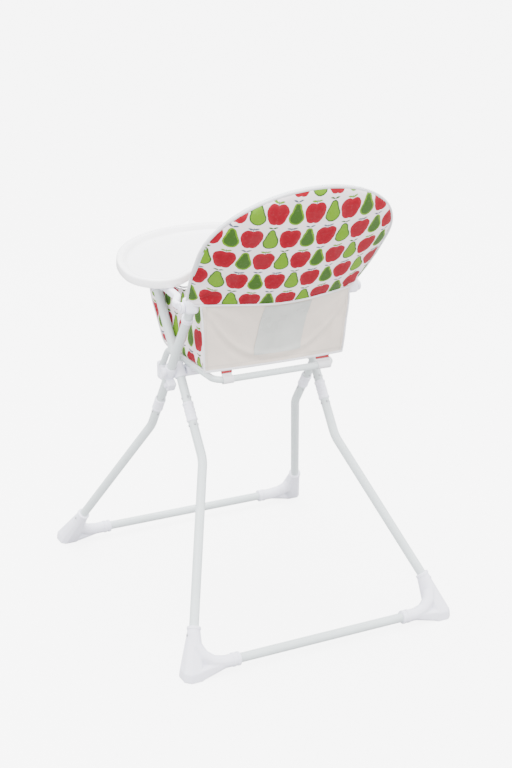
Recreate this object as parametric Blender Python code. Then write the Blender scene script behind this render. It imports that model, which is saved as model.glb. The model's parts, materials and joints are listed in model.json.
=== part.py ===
"""Folding baby high chair on crossed U-shaped tube frames.

Metres, +Z up, +X to the left hand of a seated child, -Y to the front.
The origin lies on the floor, midway between the outer faces of the feet.
"""
import math

import bmesh
import bpy
from mathutils import Matrix, Vector

# ---- driving dimensions -------------------------------------------------
GAP = 0.0003              # running gap between touching solids
TUBE_R = 0.011            # frame tube, outer radius
TUBE_WALL = 0.0012
TUBE_SIDES = 12
SLEEVE_R = 0.0138         # plastic joint sleeve, outer radius
CLEAR = 0.008             # how far a cutter runs past the face it opens
SOCKET_REACH = 0.072      # length of a cutter that bores a socket for a tube

PIVOT_Y = 0.012           # axis about which the two U frames cross
PIVOT_Z = 0.584
REAR_BAR_Y = 0.414        # floor bars, centre lines
REAR_BAR_Z = 0.026
FRONT_BAR_Y = -0.377
FRONT_BAR_Z = 0.028
FRONT_TOP_X = 0.201       # half width of each frame above its bend
REAR_TOP_X = 0.177
FRONT_BAR_X = 0.343       # half width of each frame at its floor bar
REAR_BAR_X = 0.331
BEND_UP = 0.463           # from the floor bar up to the leg's bend
CORNER_R = 0.058
BEND_R = 0.100

FRONT_SLEEVE = (-0.145, -0.107)   # stretch of each leg inside its sleeve
REAR_SLEEVE = (-0.128, -0.082)
SLEEVE_JOINT_GAP = 0.001          # half the gap between the two tubes inside a sleeve
HALF_PATH = 14                    # points of a frame's path from its top to just past its middle
SLEEVE_COLLAR = 0.006
SLEEVE_NECK_R = 0.0130    # between its collars
BACK_UPRIGHT_TOP = 0.222
FRONT_UPRIGHT_TOP = 0.236

FOOT_R = 0.0152
FOOT_FACE_Y = 0.4305      # outer face of the feet
FOOT_LEG_RISE = 0.096     # how far each foot climbs its leg
FOOT_PAD_DEPTH = 0.056
FOOT_PAD_OUT = 0.020
FOOT_PAD_IN = 0.033
FOOT_PAD_CUT = 0.012      # cut corners of the pad
FOOT_PAD_TOP = 0.020
FOOT_PAD_DRAFT = 0.002    # how far the pad's top is inside its sole
FOOT_WEB_REACH = 0.085    # how far the web runs along the bar
FOOT_WEB_SETBACK = 0.0010 # the web stays this far inside the foot's surface
FOOT_BAR_SETBACK = 0.0014
FOOT_BAR_INSET = 0.0009
FOOT_LEG_BACK = 0.07      # share of its last stretch where the web leaves the leg
FRONT_FOOT_X = 0.224      # where each foot ends along its bar
REAR_FOOT_X = 0.213

BOLT_R = 0.004
BOLT_HOLE_R = 0.0044
BOLT_IN_X = 0.1475
BOLT_OUT_X = 0.2135
HUB_R = 0.0125
HUB_T = 0.008
HUB_EDGE = 0.002
WASHER_R = 0.009

LOCK_LOW = (0.1910, TUBE_R + GAP, -0.036)     # housing box beside the left upright
LOCK_HIGH = (0.2120, 0.0320, -0.012)
LOCK_AXIS = (0.0215, -0.024)      # y and z of the button's axis
LOCK_BUTTON_R = 0.0055
LOCK_BUTTON_X = (0.2100, 0.2175)
LOCK_WELL_X = 0.2050

KNUCKLE = (0.206, 0.152, 0.783)
KNUCKLE_SIZE = (0.031, 0.036, 0.036)
KNUCKLE_ROUND = 0.009
ARM_AXIS_Y = 0.150
ARM_AXIS_Z = 0.779
ARM_RISE = math.radians(5.0)      # the arms climb towards the tray
ARM_X = 0.207
ARM_EYE_X = 0.2265
ARM_HALF_W = 0.008
ARM_HALF_H = 0.0085
ARM_LENGTH = 0.346
ARM_ROUND = 0.004
ARM_EYE_R = 0.0130
ARM_EYE_SPAN = (0.2224, 0.2300)
ARM_JOG = (-0.036, -0.068)        # where the arm steps inwards from its eye
ARM_START = -0.012                # rear end of the arm's bar, inside the eye
ARM_BEND_R = (0.015, 0.030)
ARM_RELIEF_W = 0.0124             # room cut for the knuckle, inside the eye
ARM_RELIEF_IN = -0.0340           # how far forward the eye's inner face is cut
ARM_RELIEF_OUT = -0.0170          # and its outer face
ARM_PIN_R = 0.004
ARM_PIN_HEAD_R = 0.0075
ARM_PIN_SPAN = (0.2145, 0.2305, 0.2325)   # inner end, head, outer end
ARM_BAR_R = 0.007
ARM_BAR_SETBACK = 0.012

HOOP_BASE_Y = 0.141
HOOP_BASE_Z = 0.783
HOOP_RECLINE = math.radians(39.5)
HOOP_TUBE_R = 0.008
HOOP_HALF_W = 0.225
HOOP_STRAIGHT = 0.185
HOOP_CROWN = 0.187
HOOP_FOOT = ((0.2065, 0.004), (0.2105, 0.030), (0.2180, 0.070), (0.2235, 0.120))
BACK_BULGE = 0.046
BACK_PAD_T = 0.022
BACK_PAD_EDGE_T = 0.008
BACK_PAD_LOW = 0.008
BACK_PAD_GAP = 0.0025     # between the pad and the hoop
BACK_PAD_NARROW = 0.0015  # extra gap round the crown
BACK_PAD_BLUNT = 0.018    # keeps the crown's tip from closing to a point
BACK_PAD_FLARE = 0.8      # widening above the knuckles, per metre of height
BACK_BULGE_FADE = 0.8     # share of the bulge that is gone at the crown

SEAT_TUBE_R = 0.008
SEAT_HALF_W = 0.1545
SEAT_Z = 0.602
SEAT_REAR_Y = 0.172
SEAT_FRONT_Y = -0.105
SEAT_CORNER_R = 0.030
SEAT_FRONT_BEND_R = 0.045
FOOTREST_Y = -0.150
FOOTREST_Z = 0.532
PAD_HALF_W = 0.152
PAD_FRONT_Y = -0.125
PAD_REAR_Y = 0.157
PAD_BOTTOM_Z = 0.6106
PAD_TOP_Z = 0.634
PANEL_IN_X = 0.1570
PANEL_OUT_X = 0.1615
PANEL_OUTLINE = ((0.1605, 0.6110), (0.1605, 0.7630), (0.120, 0.786), (0.080, 0.798),
                 (0.045, 0.797), (0.010, 0.784), (-0.060, 0.775), (-0.150, 0.765),
                 (-0.205, 0.742), (-0.190, 0.705), (-0.150, 0.655), (-0.122, 0.6180),
                 (-0.098, 0.6110))
BACK_PANEL_Y = (0.1610, 0.1636)
BACK_PANEL_Z = (0.6132, 0.7635)
TAB_X = (0.094, 0.124)    # stretch of the seat tube inside each retaining tab
TAB_R = 0.0105
BRACKET_HALF = 0.014
BRACKET_X = (0.1490, 0.1600)
BRACKET_DROP = 0.012
BOARD_HALF_W = 0.1445
BOARD_DEPTH = (0.034, 0.026)      # in front of and behind the footrest line
BOARD_T = 0.012
BOARD_DROP = 0.006
END_BLOCK_X = (0.1450, 0.1625)
END_BLOCK_HALF = 0.018
END_BLOCK_Z = (-0.024, 0.022)

STRAP_HALF_W = 0.0115
STRAP_T = 0.002
STRAP_LIFT = 0.0020       # strap centre line above the seat pad
CROTCH_SETBACK = 0.030    # from the pad's front edge to the end of the crotch strap
LAP_START = 0.001         # gap between the buckle and each lap strap
LAP_TURN_X = 0.065
LAP_CORNER = (0.110, 0.020)
LAP_END = (0.132, 0.115)
LAP_BEND_R = (0.045, 0.060)
BUCKLE_HALF_W = 0.024
BUCKLE_Y = (-0.0550, -0.0160)
BUCKLE_Z = (0.0006, 0.0150)       # above the seat pad
BUTTON_HALF_W = 0.0085
BUTTON_Y = (-0.0440, -0.0270)
BUTTON_Z = (0.0120, 0.0168)
BUTTON_GAP = 0.0005
BUCKLE_WELL_DROP = 0.003  # depth of the well below the button

TRAY_RIM_UP = 0.030       # rim top above the arms' centre line
TRAY_FLOOR_UP = 0.0150
TRAY_SKIRT_UP = 0.0095
TRAY_WALL = 0.0025
TRAY_HALF_W = 0.286
TRAY_MID = -0.191         # along the arms, from the arm axis
TRAY_FRONT_LEN = 0.296
TRAY_SQUARENESS = 0.98    # exponent of the front curve: 1 is an ellipse
TRAY_TIP_X = 0.214
TRAY_TIP = -0.106
TRAY_BELLY_DEPTH = 0.100
TRAY_BELLY_SHAPE = 1.6    # exponent of the rear edge: higher is flatter in the middle
TRAY_RIM_W = 0.016
TRAY_BOWL_INSET = 0.030
RAIL_START = -0.316
RAIL_END = -0.136
RAIL_WALL = 0.0030
RAIL_GAP = 0.0006         # sliding gap beside each arm
RAIL_DROP = 0.006
CATCH_SPAN = (-0.201, -0.171)     # along the arms
CATCH_T = 0.004
CATCH_HOOK = 0.009        # how far it reaches under the arm
CATCH_GRIP = 0.012        # how far its finger grip stands out
CATCH_TOP = 0.0070
SADDLE_SOCKET = 0.030
SADDLE_CAP = 0.004
SADDLE_LUG_LOW = (0.1770, -0.1430, 0.7750)
SADDLE_LUG_HIGH = (0.2140, -0.1200, 0.7925)

SIDES = (("left", 1.0), ("right", -1.0))
Y_AXIS = (0.0, 1.0, 0.0)
X_AXIS = (1.0, 0.0, 0.0)
SHARP_ANGLE = math.radians(35.0)

# ---- colours ------------------------------------------------------------
POWDER_WHITE = (0.80, 0.83, 0.83)
PLASTIC_WHITE = (0.86, 0.85, 0.90)
TRAY_WHITE = (0.90, 0.90, 0.93)
STEEL = (0.55, 0.56, 0.58)
PRINT_RED = (0.75, 0.20, 0.23)
LINING = (0.82, 0.80, 0.78)
WEBBING = (0.90, 0.90, 0.92)


def clear_scene():
    for obj in list(bpy.data.objects):
        bpy.data.objects.remove(obj, do_unlink=True)


def make_material(name, colour, roughness, metallic=0.0):
    mat = bpy.data.materials.new(name)
    mat.use_nodes = True
    shader = mat.node_tree.nodes["Principled BSDF"]
    shader.inputs["Base Color"].default_value = (*colour, 1.0)
    shader.inputs["Roughness"].default_value = roughness
    shader.inputs["Metallic"].default_value = metallic
    return mat


def make_empty(name, location, tilt=0.0, parent=None):
    empty = bpy.data.objects.new(name, None)
    bpy.context.scene.collection.objects.link(empty)
    empty.location = location
    empty.rotation_euler = (tilt, 0.0, 0.0)
    empty.parent = parent
    return empty


def add_object(name, bm, mat, parent=None, smooth=True):
    bmesh.ops.recalc_face_normals(bm, faces=bm.faces)
    mesh = bpy.data.meshes.new(name)
    bm.to_mesh(mesh)
    bm.free()
    if smooth:
        mesh.shade_smooth()
        mesh.set_sharp_from_angle(angle=SHARP_ANGLE)
    mesh.materials.append(mat)
    obj = bpy.data.objects.new(name, mesh)
    bpy.context.scene.collection.objects.link(obj)
    obj.parent = parent
    return obj


# ---- shape helpers ------------------------------------------------------
def round_section(radius, sides=TUBE_SIDES):
    step = 2.0 * math.pi / sides
    return [(radius * math.cos(step * (i + 0.5)), radius * math.sin(step * (i + 0.5)))
            for i in range(sides)]


def soft_rect_section(half_w, half_h, corner, steps=2):
    points = []
    for quarter in range(4):
        sign_x = (1.0, -1.0, -1.0, 1.0)[quarter]
        sign_y = (1.0, 1.0, -1.0, -1.0)[quarter]
        for i in range(steps + 1):
            angle = math.pi / 2.0 * (quarter + i / steps)
            points.append((sign_x * (half_w - corner) + corner * math.cos(angle),
                           sign_y * (half_h - corner) + corner * math.sin(angle)))
    return points


def fillet(before, corner, after, radius, steps):
    """Points of the arc that rounds one corner of a path."""
    into = (corner - before).normalized()
    out = (after - corner).normalized()
    turn = into.angle(out)
    reach = radius * math.tan(turn / 2.0)
    start = corner - into * reach
    axis = into.cross(out).normalized()
    centre = start + axis.cross(into) * radius
    spoke = start - centre
    return [centre + Matrix.Rotation(turn * i / steps, 3, axis) @ spoke
            for i in range(steps + 1)]


def rounded_path(corners, radii, steps=5):
    corners = [Vector(c) for c in corners]
    path = [corners[0]]
    for i in range(1, len(corners) - 1):
        if radii[i - 1] > 0.0:
            path += fillet(corners[i - 1], corners[i], corners[i + 1], radii[i - 1], steps)
        else:
            path.append(corners[i])
    path.append(corners[-1])
    return path


def path_frames(path, side_hint):
    """A side and an up vector at each point, carried along without twist."""
    frames = []
    side = Vector(side_hint)
    for i, point in enumerate(path):
        before = path[max(i - 1, 0)]
        after = path[min(i + 1, len(path) - 1)]
        along = (after - before).normalized()
        side = (side - along * side.dot(along)).normalized()
        frames.append((point, side, along.cross(side)))
    return frames


def sweep_rings(bm, frames, section):
    return [[bm.verts.new(p + side * a + up * b) for a, b in section]
            for p, side, up in frames]


def bridge_rings(bm, rings):
    count = len(rings[0])
    for ring, nxt in zip(rings, rings[1:]):
        for i in range(count):
            j = (i + 1) % count
            bm.faces.new((ring[i], ring[j], nxt[j], nxt[i]))


def sweep_solid(path, section, side_hint):
    bm = bmesh.new()
    rings = sweep_rings(bm, path_frames([Vector(p) for p in path], side_hint), section)
    bridge_rings(bm, rings)
    bm.faces.new(rings[0])
    bm.faces.new(rings[-1])
    return bm


def sweep_pipe(path, radius, wall, side_hint, sides=TUBE_SIDES):
    """A hollow tube, open at both ends."""
    bm = bmesh.new()
    frames = path_frames([Vector(p) for p in path], side_hint)
    outer = sweep_rings(bm, frames, round_section(radius, sides))
    inner = sweep_rings(bm, frames, round_section(radius - wall, sides))
    bridge_rings(bm, outer)
    bridge_rings(bm, inner)
    bridge_rings(bm, [outer[0], inner[0]])
    bridge_rings(bm, [outer[-1], inner[-1]])
    return bm


def rounded_box(low, high, bevel=0.002, segments=2):
    bm = bmesh.new()
    size = Vector(high) - Vector(low)
    centre = (Vector(high) + Vector(low)) / 2.0
    place = Matrix.Translation(centre) @ Matrix.Diagonal((*size, 1.0))
    bmesh.ops.create_cube(bm, size=1.0, matrix=place)
    if bevel > 0.0:
        bmesh.ops.bevel(bm, geom=list(bm.edges), offset=bevel, segments=segments,
                        affect='EDGES', profile=0.5)
    return bm


def disc(bm, x_from, x_to, radius, y=0.0, z=0.0, sides=16):
    """A cylinder along X, added to a bmesh."""
    spin = Matrix.Rotation(math.pi / 2.0, 4, 'Y')
    place = Matrix.Translation(((x_from + x_to) / 2.0, y, z)) @ spin
    bmesh.ops.create_cone(bm, cap_ends=True, segments=sides, radius1=radius,
                          radius2=radius, depth=abs(x_to - x_from), matrix=place)


def x_cylinder(x_from, x_to, radius, y=0.0, z=0.0, sides=16):
    bm = bmesh.new()
    disc(bm, x_from, x_to, radius, y, z, sides)
    return bm


def mirror_x(bm, sign):
    if sign < 0.0:
        bmesh.ops.scale(bm, vec=(-1.0, 1.0, 1.0), verts=bm.verts)
    return bm


def convex_body(points):
    bm = bmesh.new()
    for point in points:
        bm.verts.new(point)
    result = bmesh.ops.convex_hull(bm, input=bm.verts)
    spare = [g for g in result["geom_unused"] + result["geom_interior"]
             if isinstance(g, bmesh.types.BMVert)]
    bmesh.ops.delete(bm, geom=list(set(spare)), context='VERTS')
    return bm


def boolean(obj, cutter, operation):
    mod = obj.modifiers.new(operation.lower(), 'BOOLEAN')
    mod.operation = operation
    mod.solver = 'EXACT'
    mod.object = cutter
    cutter.hide_render = True
    cutter.display_type = 'WIRE'


# ---- the two U frames ---------------------------------------------------
def frame_tilt(bar_y, bar_z):
    """Lean of a U frame from the vertical, and its length below the pivot."""
    run = bar_y - PIVOT_Y
    drop = PIVOT_Z - bar_z
    return math.atan2(run, drop), math.hypot(run, drop)


def u_corners(top_x, bar_x, length, top_z):
    bend_z = BEND_UP - length
    return [(top_x, 0.0, top_z), (top_x, 0.0, bend_z), (bar_x, 0.0, -length),
            (-bar_x, 0.0, -length), (-top_x, 0.0, bend_z), (-top_x, 0.0, top_z)]


def u_path(top_x, bar_x, length, top_z):
    radii = (BEND_R, CORNER_R, CORNER_R, BEND_R)
    return rounded_path(u_corners(top_x, bar_x, length, top_z), radii)


def foot_path(top_x, bar_x, length, foot_x):
    """The stretch of tube that one foot wraps, from its bar up its leg."""
    bend = Vector((top_x, 0.0, BEND_UP - length))
    corner = Vector((bar_x, 0.0, -length))
    leg_end = corner + (bend - corner).normalized() * FOOT_LEG_RISE
    return rounded_path([(foot_x, 0.0, -length), corner, leg_end], (CORNER_R,), steps=4)


def make_u_tube(name, mat, parent, top_x, bar_x, length, top_z):
    path = u_path(top_x, bar_x, length, top_z)
    bm = sweep_pipe(path, TUBE_R, TUBE_WALL, Y_AXIS)
    return add_object(name, bm, mat, parent)


def foot_pad_points(sign_y, bar_x, up, shrink):
    """One level of the moulded pad: a rectangle with cut corners, in world space."""
    face = FOOT_FACE_Y - shrink
    back = FOOT_FACE_Y - FOOT_PAD_DEPTH + shrink
    out_x = bar_x + FOOT_PAD_OUT - shrink
    in_x = bar_x - FOOT_PAD_IN + shrink
    cut = FOOT_PAD_CUT
    outline = ((out_x - cut, face), (out_x, face - cut), (out_x, back + cut), (out_x - cut, back),
               (in_x + cut, back), (in_x, back + cut), (in_x, face - cut), (in_x + cut, face))
    return [(x, sign_y * y, up) for x, y in outline]


def foot_ring(tilt, centre, along, radius):
    """Points round the tube where a foot ends, in world space."""
    along = Vector(along).normalized()
    side = Vector(Y_AXIS)
    up = along.cross(side)
    place = Matrix.Translation((0.0, PIVOT_Y, PIVOT_Z)) @ Matrix.Rotation(tilt, 4, 'X')
    return [tuple(place @ (Vector(centre) + side * a + up * b))
            for a, b in round_section(radius, 10)]


def make_foot(name, mat, parent, side, sign_y, tube, tilt, top_x, bar_x, length, foot_x):
    """A moulded foot round the frame's floor corner, flared down to a flat pad."""
    wrap = foot_path(top_x, bar_x, length, foot_x)
    path = [(side * p.x, p.y, p.z) for p in wrap]
    foot = add_object(name, sweep_solid(path, round_section(FOOT_R), Y_AXIS), mat, parent)
    leg_end = wrap[-1].lerp(wrap[-2], FOOT_LEG_BACK)
    leg_ring = foot_ring(tilt, leg_end, wrap[-1] - wrap[-2], FOOT_R - FOOT_WEB_SETBACK)
    bar_ring = foot_ring(tilt, (bar_x - FOOT_WEB_REACH, 0.0, -length), X_AXIS, FOOT_R - FOOT_BAR_SETBACK)
    for label, ring, inset in (("_leg_guide", leg_ring, 0.0), ("_bar_guide", bar_ring, FOOT_BAR_INSET)):
        pad = (foot_pad_points(sign_y, bar_x, inset, inset)
               + foot_pad_points(sign_y, bar_x, FOOT_PAD_TOP - inset, FOOT_PAD_DRAFT + inset))
        points = [(side * x, y, z) for x, y, z in ring + pad]
        boolean(foot, add_object(name + label, convex_body(points), mat), 'UNION')
    bore = sweep_solid([(side * p.x, p.y, p.z) for p in tube], round_section(TUBE_R + GAP), Y_AXIS)
    boolean(foot, add_object(name + "_bore_guide", bore, mat, parent), 'DIFFERENCE')
    return foot


def make_sleeve(name, mat, parent, side, x, span):
    """A joint sleeve with a collar at each end, bored for its tube."""
    low, high = span
    radii = (SLEEVE_R, SLEEVE_R, SLEEVE_NECK_R, SLEEVE_NECK_R, SLEEVE_R, SLEEVE_R)
    heights = (low, low + SLEEVE_COLLAR, low + SLEEVE_COLLAR, high - SLEEVE_COLLAR,
               high - SLEEVE_COLLAR, high)
    bm = bmesh.new()
    outer = [ring_at(bm, side * x, z, r) for r, z in zip(radii, heights)]
    inner = [ring_at(bm, side * x, z, TUBE_R + GAP) for z in (low, high)]
    bridge_rings(bm, outer)
    bridge_rings(bm, inner)
    bridge_rings(bm, [outer[0], inner[0]])
    bridge_rings(bm, [outer[-1], inner[-1]])
    return add_object(name, bm, mat, parent)


def ring_at(bm, x, z, radius):
    return [bm.verts.new((x + a, b, z)) for a, b in round_section(radius)]


def make_upright(name, mat, parent, side, x, low, high, bolt_guide):
    path = [(side * x, 0.0, low), (side * x, 0.0, high)]
    tube = add_object(name, sweep_pipe(path, TUBE_R, TUBE_WALL, Y_AXIS), mat, parent)
    boolean(tube, bolt_guide, 'DIFFERENCE')
    return tube


# ---- hub and knuckle ----------------------------------------------------
def make_hub_caps(mat):
    for label, side in SIDES:
        bm = x_cylinder(0.0, HUB_T, HUB_R, sides=20)
        outer = [e for e in bm.edges if all(v.co.x > HUB_T / 2.0 for v in e.verts)]
        bmesh.ops.bevel(bm, geom=outer, offset=HUB_EDGE, segments=2, affect='EDGES', profile=0.5)
        place = (BOLT_OUT_X + 2.0 * GAP, PIVOT_Y, PIVOT_Z)
        bmesh.ops.translate(bm, verts=bm.verts, vec=place)
        add_object("hub_cap_" + label, mirror_x(bm, side), mat)


def make_bolts(mat):
    for label, side in SIDES:
        bm = x_cylinder(BOLT_IN_X, BOLT_OUT_X, BOLT_R, PIVOT_Y, PIVOT_Z, sides=12)
        add_object("pivot_bolt_" + label, mirror_x(bm, side), mat)


def make_washers(mat):
    """One plain washer between the two tubes at each hub."""
    x_low = REAR_TOP_X + TUBE_R + GAP
    x_high = FRONT_TOP_X - TUBE_R - GAP
    for label, side in SIDES:
        bm = bmesh.new()
        rings = []
        section = ((x_low, WASHER_R), (x_high, WASHER_R), (x_high, BOLT_HOLE_R), (x_low, BOLT_HOLE_R))
        for x, radius in section:
            rings.append([bm.verts.new((side * x, PIVOT_Y + a, PIVOT_Z + b))
                          for a, b in round_section(radius)])
        bridge_rings(bm, rings + rings[:1])
        add_object("hub_washer_" + label, bm, mat)


def make_lock(housing_mat, button_mat, parent):
    """Fold lock beside each hub: a housing with a push button through it."""
    y, z = LOCK_AXIS
    for label, side in SIDES:
        box = mirror_x(rounded_box(LOCK_LOW, LOCK_HIGH, 0.003), side)
        housing = add_object("lock_housing_" + label, box, housing_mat, parent)
        well = x_cylinder(LOCK_WELL_X, LOCK_HIGH[0] + CLEAR, LOCK_BUTTON_R + GAP, y, z, sides=14)
        guide = add_object("lock_well_guide_" + label, mirror_x(well, side), housing_mat, parent)
        boolean(housing, guide, 'DIFFERENCE')
        button = x_cylinder(*LOCK_BUTTON_X, LOCK_BUTTON_R, y, z, sides=14)
        add_object("lock_button_" + label, mirror_x(button, side), button_mat, parent)


def knuckle_body():
    centre = Vector(KNUCKLE)
    half = Vector(KNUCKLE_SIZE) / 2.0
    return rounded_box(centre - half, centre + half, KNUCKLE_ROUND, 3)


def make_knuckles(mat, upright_frame, hoop_frame):
    """Mouldings that join each back upright, hoop end and arm pin."""
    for label, side in SIDES:
        block = add_object("arm_knuckle_" + label, mirror_x(knuckle_body(), side), mat)
        x = side * FRONT_TOP_X
        socket_path = [(x, 0.0, BACK_UPRIGHT_TOP - SOCKET_REACH), (x, 0.0, BACK_UPRIGHT_TOP + GAP)]
        socket = sweep_solid(socket_path, round_section(TUBE_R + GAP), Y_AXIS)
        guide = add_object("knuckle_socket_guide_" + label, socket, mat, upright_frame)
        boolean(block, guide, 'DIFFERENCE')
        hoop_path = [(side * p.x, p.y, p.z) for p in hoop_half_path()]
        hoop = sweep_solid(hoop_path, round_section(HOOP_TUBE_R + GAP), Y_AXIS)
        guide = add_object("knuckle_hoop_guide_" + label, hoop, mat, hoop_frame)
        boolean(block, guide, 'DIFFERENCE')
        pin = x_cylinder(ARM_PIN_SPAN[0] - GAP, ARM_PIN_SPAN[2] + CLEAR, ARM_PIN_R + GAP,
                         ARM_AXIS_Y, ARM_AXIS_Z, sides=12)
        guide = add_object("knuckle_pin_guide_" + label, mirror_x(pin, side), mat)
        boolean(block, guide, 'DIFFERENCE')


def make_arm_pins(mat):
    """Pivot pins of the tray arms, with heads outside the arms' eyes."""
    inner, head, outer = ARM_PIN_SPAN
    profile = ((inner, ARM_PIN_R), (head, ARM_PIN_R), (head, ARM_PIN_HEAD_R), (outer, ARM_PIN_HEAD_R))
    for label, side in SIDES:
        bm = bmesh.new()
        rings = []
        for x, radius in profile:
            rings.append([bm.verts.new((side * x, ARM_AXIS_Y + a, ARM_AXIS_Z + b))
                          for a, b in round_section(radius)])
        bridge_rings(bm, rings)
        bm.faces.new(rings[0])
        bm.faces.new(rings[-1])
        add_object("arm_pin_" + label, bm, mat)


# ---- backrest -----------------------------------------------------------
def hoop_half_path():
    """Left half of the hoop's centre line in its own plane, knuckle first."""
    path = [Vector((x, 0.0, z)) for x, z in HOOP_FOOT]
    steps = 10
    for i in range(steps + 1):
        angle = math.pi / 2.0 * i / steps
        path.append(Vector((HOOP_HALF_W * math.cos(angle), 0.0,
                            HOOP_STRAIGHT + HOOP_CROWN * math.sin(angle))))
    return path


def make_hoop(mat, parent):
    left = hoop_half_path()
    right = [Vector((-p.x, p.y, p.z)) for p in reversed(left[:-1])]
    bm = sweep_pipe(left + right, HOOP_TUBE_R, TUBE_WALL, (0.0, 1.0, 0.0), sides=10)
    return add_object("backrest_hoop", bm, mat, parent)


def hoop_width_at(height):
    """Half width of the hoop's centre line below its crown."""
    low = hoop_half_path()[:len(HOOP_FOOT) + 1]
    for a, b in zip(low, low[1:]):
        if a.z <= height <= b.z:
            return a.x + (b.x - a.x) * (height - a.z) / (b.z - a.z)
    return low[-1].x


def back_pad_half_width(height):
    """Half width of the pad, which stays inside the hoop and the knuckles."""
    if height > HOOP_STRAIGHT:
        crown = HOOP_CROWN - HOOP_TUBE_R - 2.0 * BACK_PAD_NARROW
        reach = (height - HOOP_STRAIGHT) / crown
        return HOOP_HALF_W * crown / HOOP_CROWN * math.sqrt(max(1.0 - reach * reach,
                                                                       BACK_PAD_BLUNT))
    inside_hoop = hoop_width_at(height) - HOOP_TUBE_R - BACK_PAD_GAP
    knuckle_face = KNUCKLE[0] - KNUCKLE_SIZE[0] / 2.0
    flare = BACK_PAD_FLARE * max(height - KNUCKLE_SIZE[2], 0.0)
    return min(inside_hoop, knuckle_face - BACK_PAD_EDGE_T / 2.0 + flare)


def back_pad_point(across, up, rear):
    """A point of the padded back; across runs -1..1 and up runs 0..1."""
    high = HOOP_STRAIGHT + HOOP_CROWN - HOOP_TUBE_R - 0.5 * BACK_PAD_EDGE_T
    height = BACK_PAD_LOW + (high - BACK_PAD_LOW) * up
    bulge = BACK_BULGE * (1.0 - across * across) * (1.0 - BACK_BULGE_FADE * up * up)
    fill = (1.0 - across ** 4) * (1.0 - (2.0 * up - 1.0) ** 6)
    half_t = 0.5 * (BACK_PAD_EDGE_T + BACK_PAD_T * fill)
    return Vector((across * back_pad_half_width(height), bulge + (half_t if rear else -half_t), height))


def make_back_pad(mat, parent):
    columns, rows = 12, 10
    bm = bmesh.new()
    faces = []
    for rear in (False, True):
        faces.append([[bm.verts.new(back_pad_point(2.0 * i / columns - 1.0, j / rows, rear))
                       for i in range(columns + 1)] for j in range(rows + 1)])
    for grid in faces:
        for j in range(rows):
            for i in range(columns):
                bm.faces.new((grid[j][i], grid[j][i + 1], grid[j + 1][i + 1], grid[j + 1][i]))
    front, back = faces
    border = ([(0, i) for i in range(columns)] + [(j, columns) for j in range(rows)]
              + [(rows, i) for i in range(columns, 0, -1)] + [(j, 0) for j in range(rows, 0, -1)])
    for (j0, i0), (j1, i1) in zip(border, border[1:] + border[:1]):
        bm.faces.new((front[j0][i0], front[j1][i1], back[j1][i1], back[j0][i0]))
    return add_object("backrest_pad", bm, mat, parent)


# ---- seat ---------------------------------------------------------------
def seat_corners():
    half = [(SEAT_HALF_W, FOOTREST_Y + 0.002, FOOTREST_Z + 0.012),
            (SEAT_HALF_W, SEAT_FRONT_Y, SEAT_Z), (SEAT_HALF_W, SEAT_REAR_Y, SEAT_Z)]
    return half + [(-x, y, z) for x, y, z in reversed(half)]


def seat_path():
    radii = (SEAT_FRONT_BEND_R, SEAT_CORNER_R, SEAT_CORNER_R, SEAT_FRONT_BEND_R)
    return rounded_path(seat_corners(), radii, steps=4)


def relative(point):
    return (point[0], point[1] - PIVOT_Y, point[2] - PIVOT_Z)


def shift_to_pivot(bm):
    bmesh.ops.translate(bm, verts=bm.verts, vec=(0.0, -PIVOT_Y, -PIVOT_Z))
    return bm


def make_seat_loop(mat, parent):
    bm = sweep_pipe(seat_path(), SEAT_TUBE_R, TUBE_WALL, (1.0, 0.0, 0.0), sides=10)
    return add_object("seat_loop", shift_to_pivot(bm), mat, parent)


def make_seat_brackets(mat, parent):
    """Blocks under the seat tube that turn on the pivot bolts."""
    low = (BRACKET_X[0], PIVOT_Y - BRACKET_HALF, PIVOT_Z - BRACKET_DROP)
    high = (BRACKET_X[1], PIVOT_Y + BRACKET_HALF, SEAT_Z - SEAT_TUBE_R - GAP)
    for label, side in SIDES:
        bm = mirror_x(shift_to_pivot(rounded_box(low, high, 0.002, 1)), side)
        bracket = add_object("seat_bracket_" + label, bm, mat, parent)
        hole = x_cylinder(BRACKET_X[0] - CLEAR, BRACKET_X[1] + CLEAR, BOLT_HOLE_R, sides=12)
        guide = add_object("seat_bracket_guide_" + label, mirror_x(hole, side), mat, parent)
        boolean(bracket, guide, 'DIFFERENCE')


def make_footrest(mat, parent):
    """The footrest board and the blocks that clamp it to the seat tube's ends."""
    top = FOOTREST_Z - BOARD_DROP
    board = rounded_box((-BOARD_HALF_W, FOOTREST_Y - BOARD_DEPTH[0], top - BOARD_T),
                        (BOARD_HALF_W, FOOTREST_Y + BOARD_DEPTH[1], top), 0.004, 2)
    add_object("footrest_board", shift_to_pivot(board), mat, parent)
    low = (END_BLOCK_X[0], FOOTREST_Y - END_BLOCK_HALF, FOOTREST_Z + END_BLOCK_Z[0])
    high = (END_BLOCK_X[1], FOOTREST_Y + END_BLOCK_HALF, FOOTREST_Z + END_BLOCK_Z[1])
    for label, side in SIDES:
        bm = mirror_x(shift_to_pivot(rounded_box(low, high, 0.006, 2)), side)
        block = add_object("footrest_bracket_" + label, bm, mat, parent)
        socket = shift_to_pivot(sweep_solid(seat_path(), round_section(SEAT_TUBE_R + GAP, 10), X_AXIS))
        guide = add_object("footrest_socket_guide_" + label, socket, mat, parent)
        boolean(block, guide, 'DIFFERENCE')


def make_seat_pad(mat, parent):
    bm = rounded_box((-PAD_HALF_W, PAD_FRONT_Y, PAD_BOTTOM_Z), (PAD_HALF_W, PAD_REAR_Y, PAD_TOP_Z),
                     0.010, 3)
    return add_object("seat_pad", shift_to_pivot(bm), mat, parent)


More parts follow.
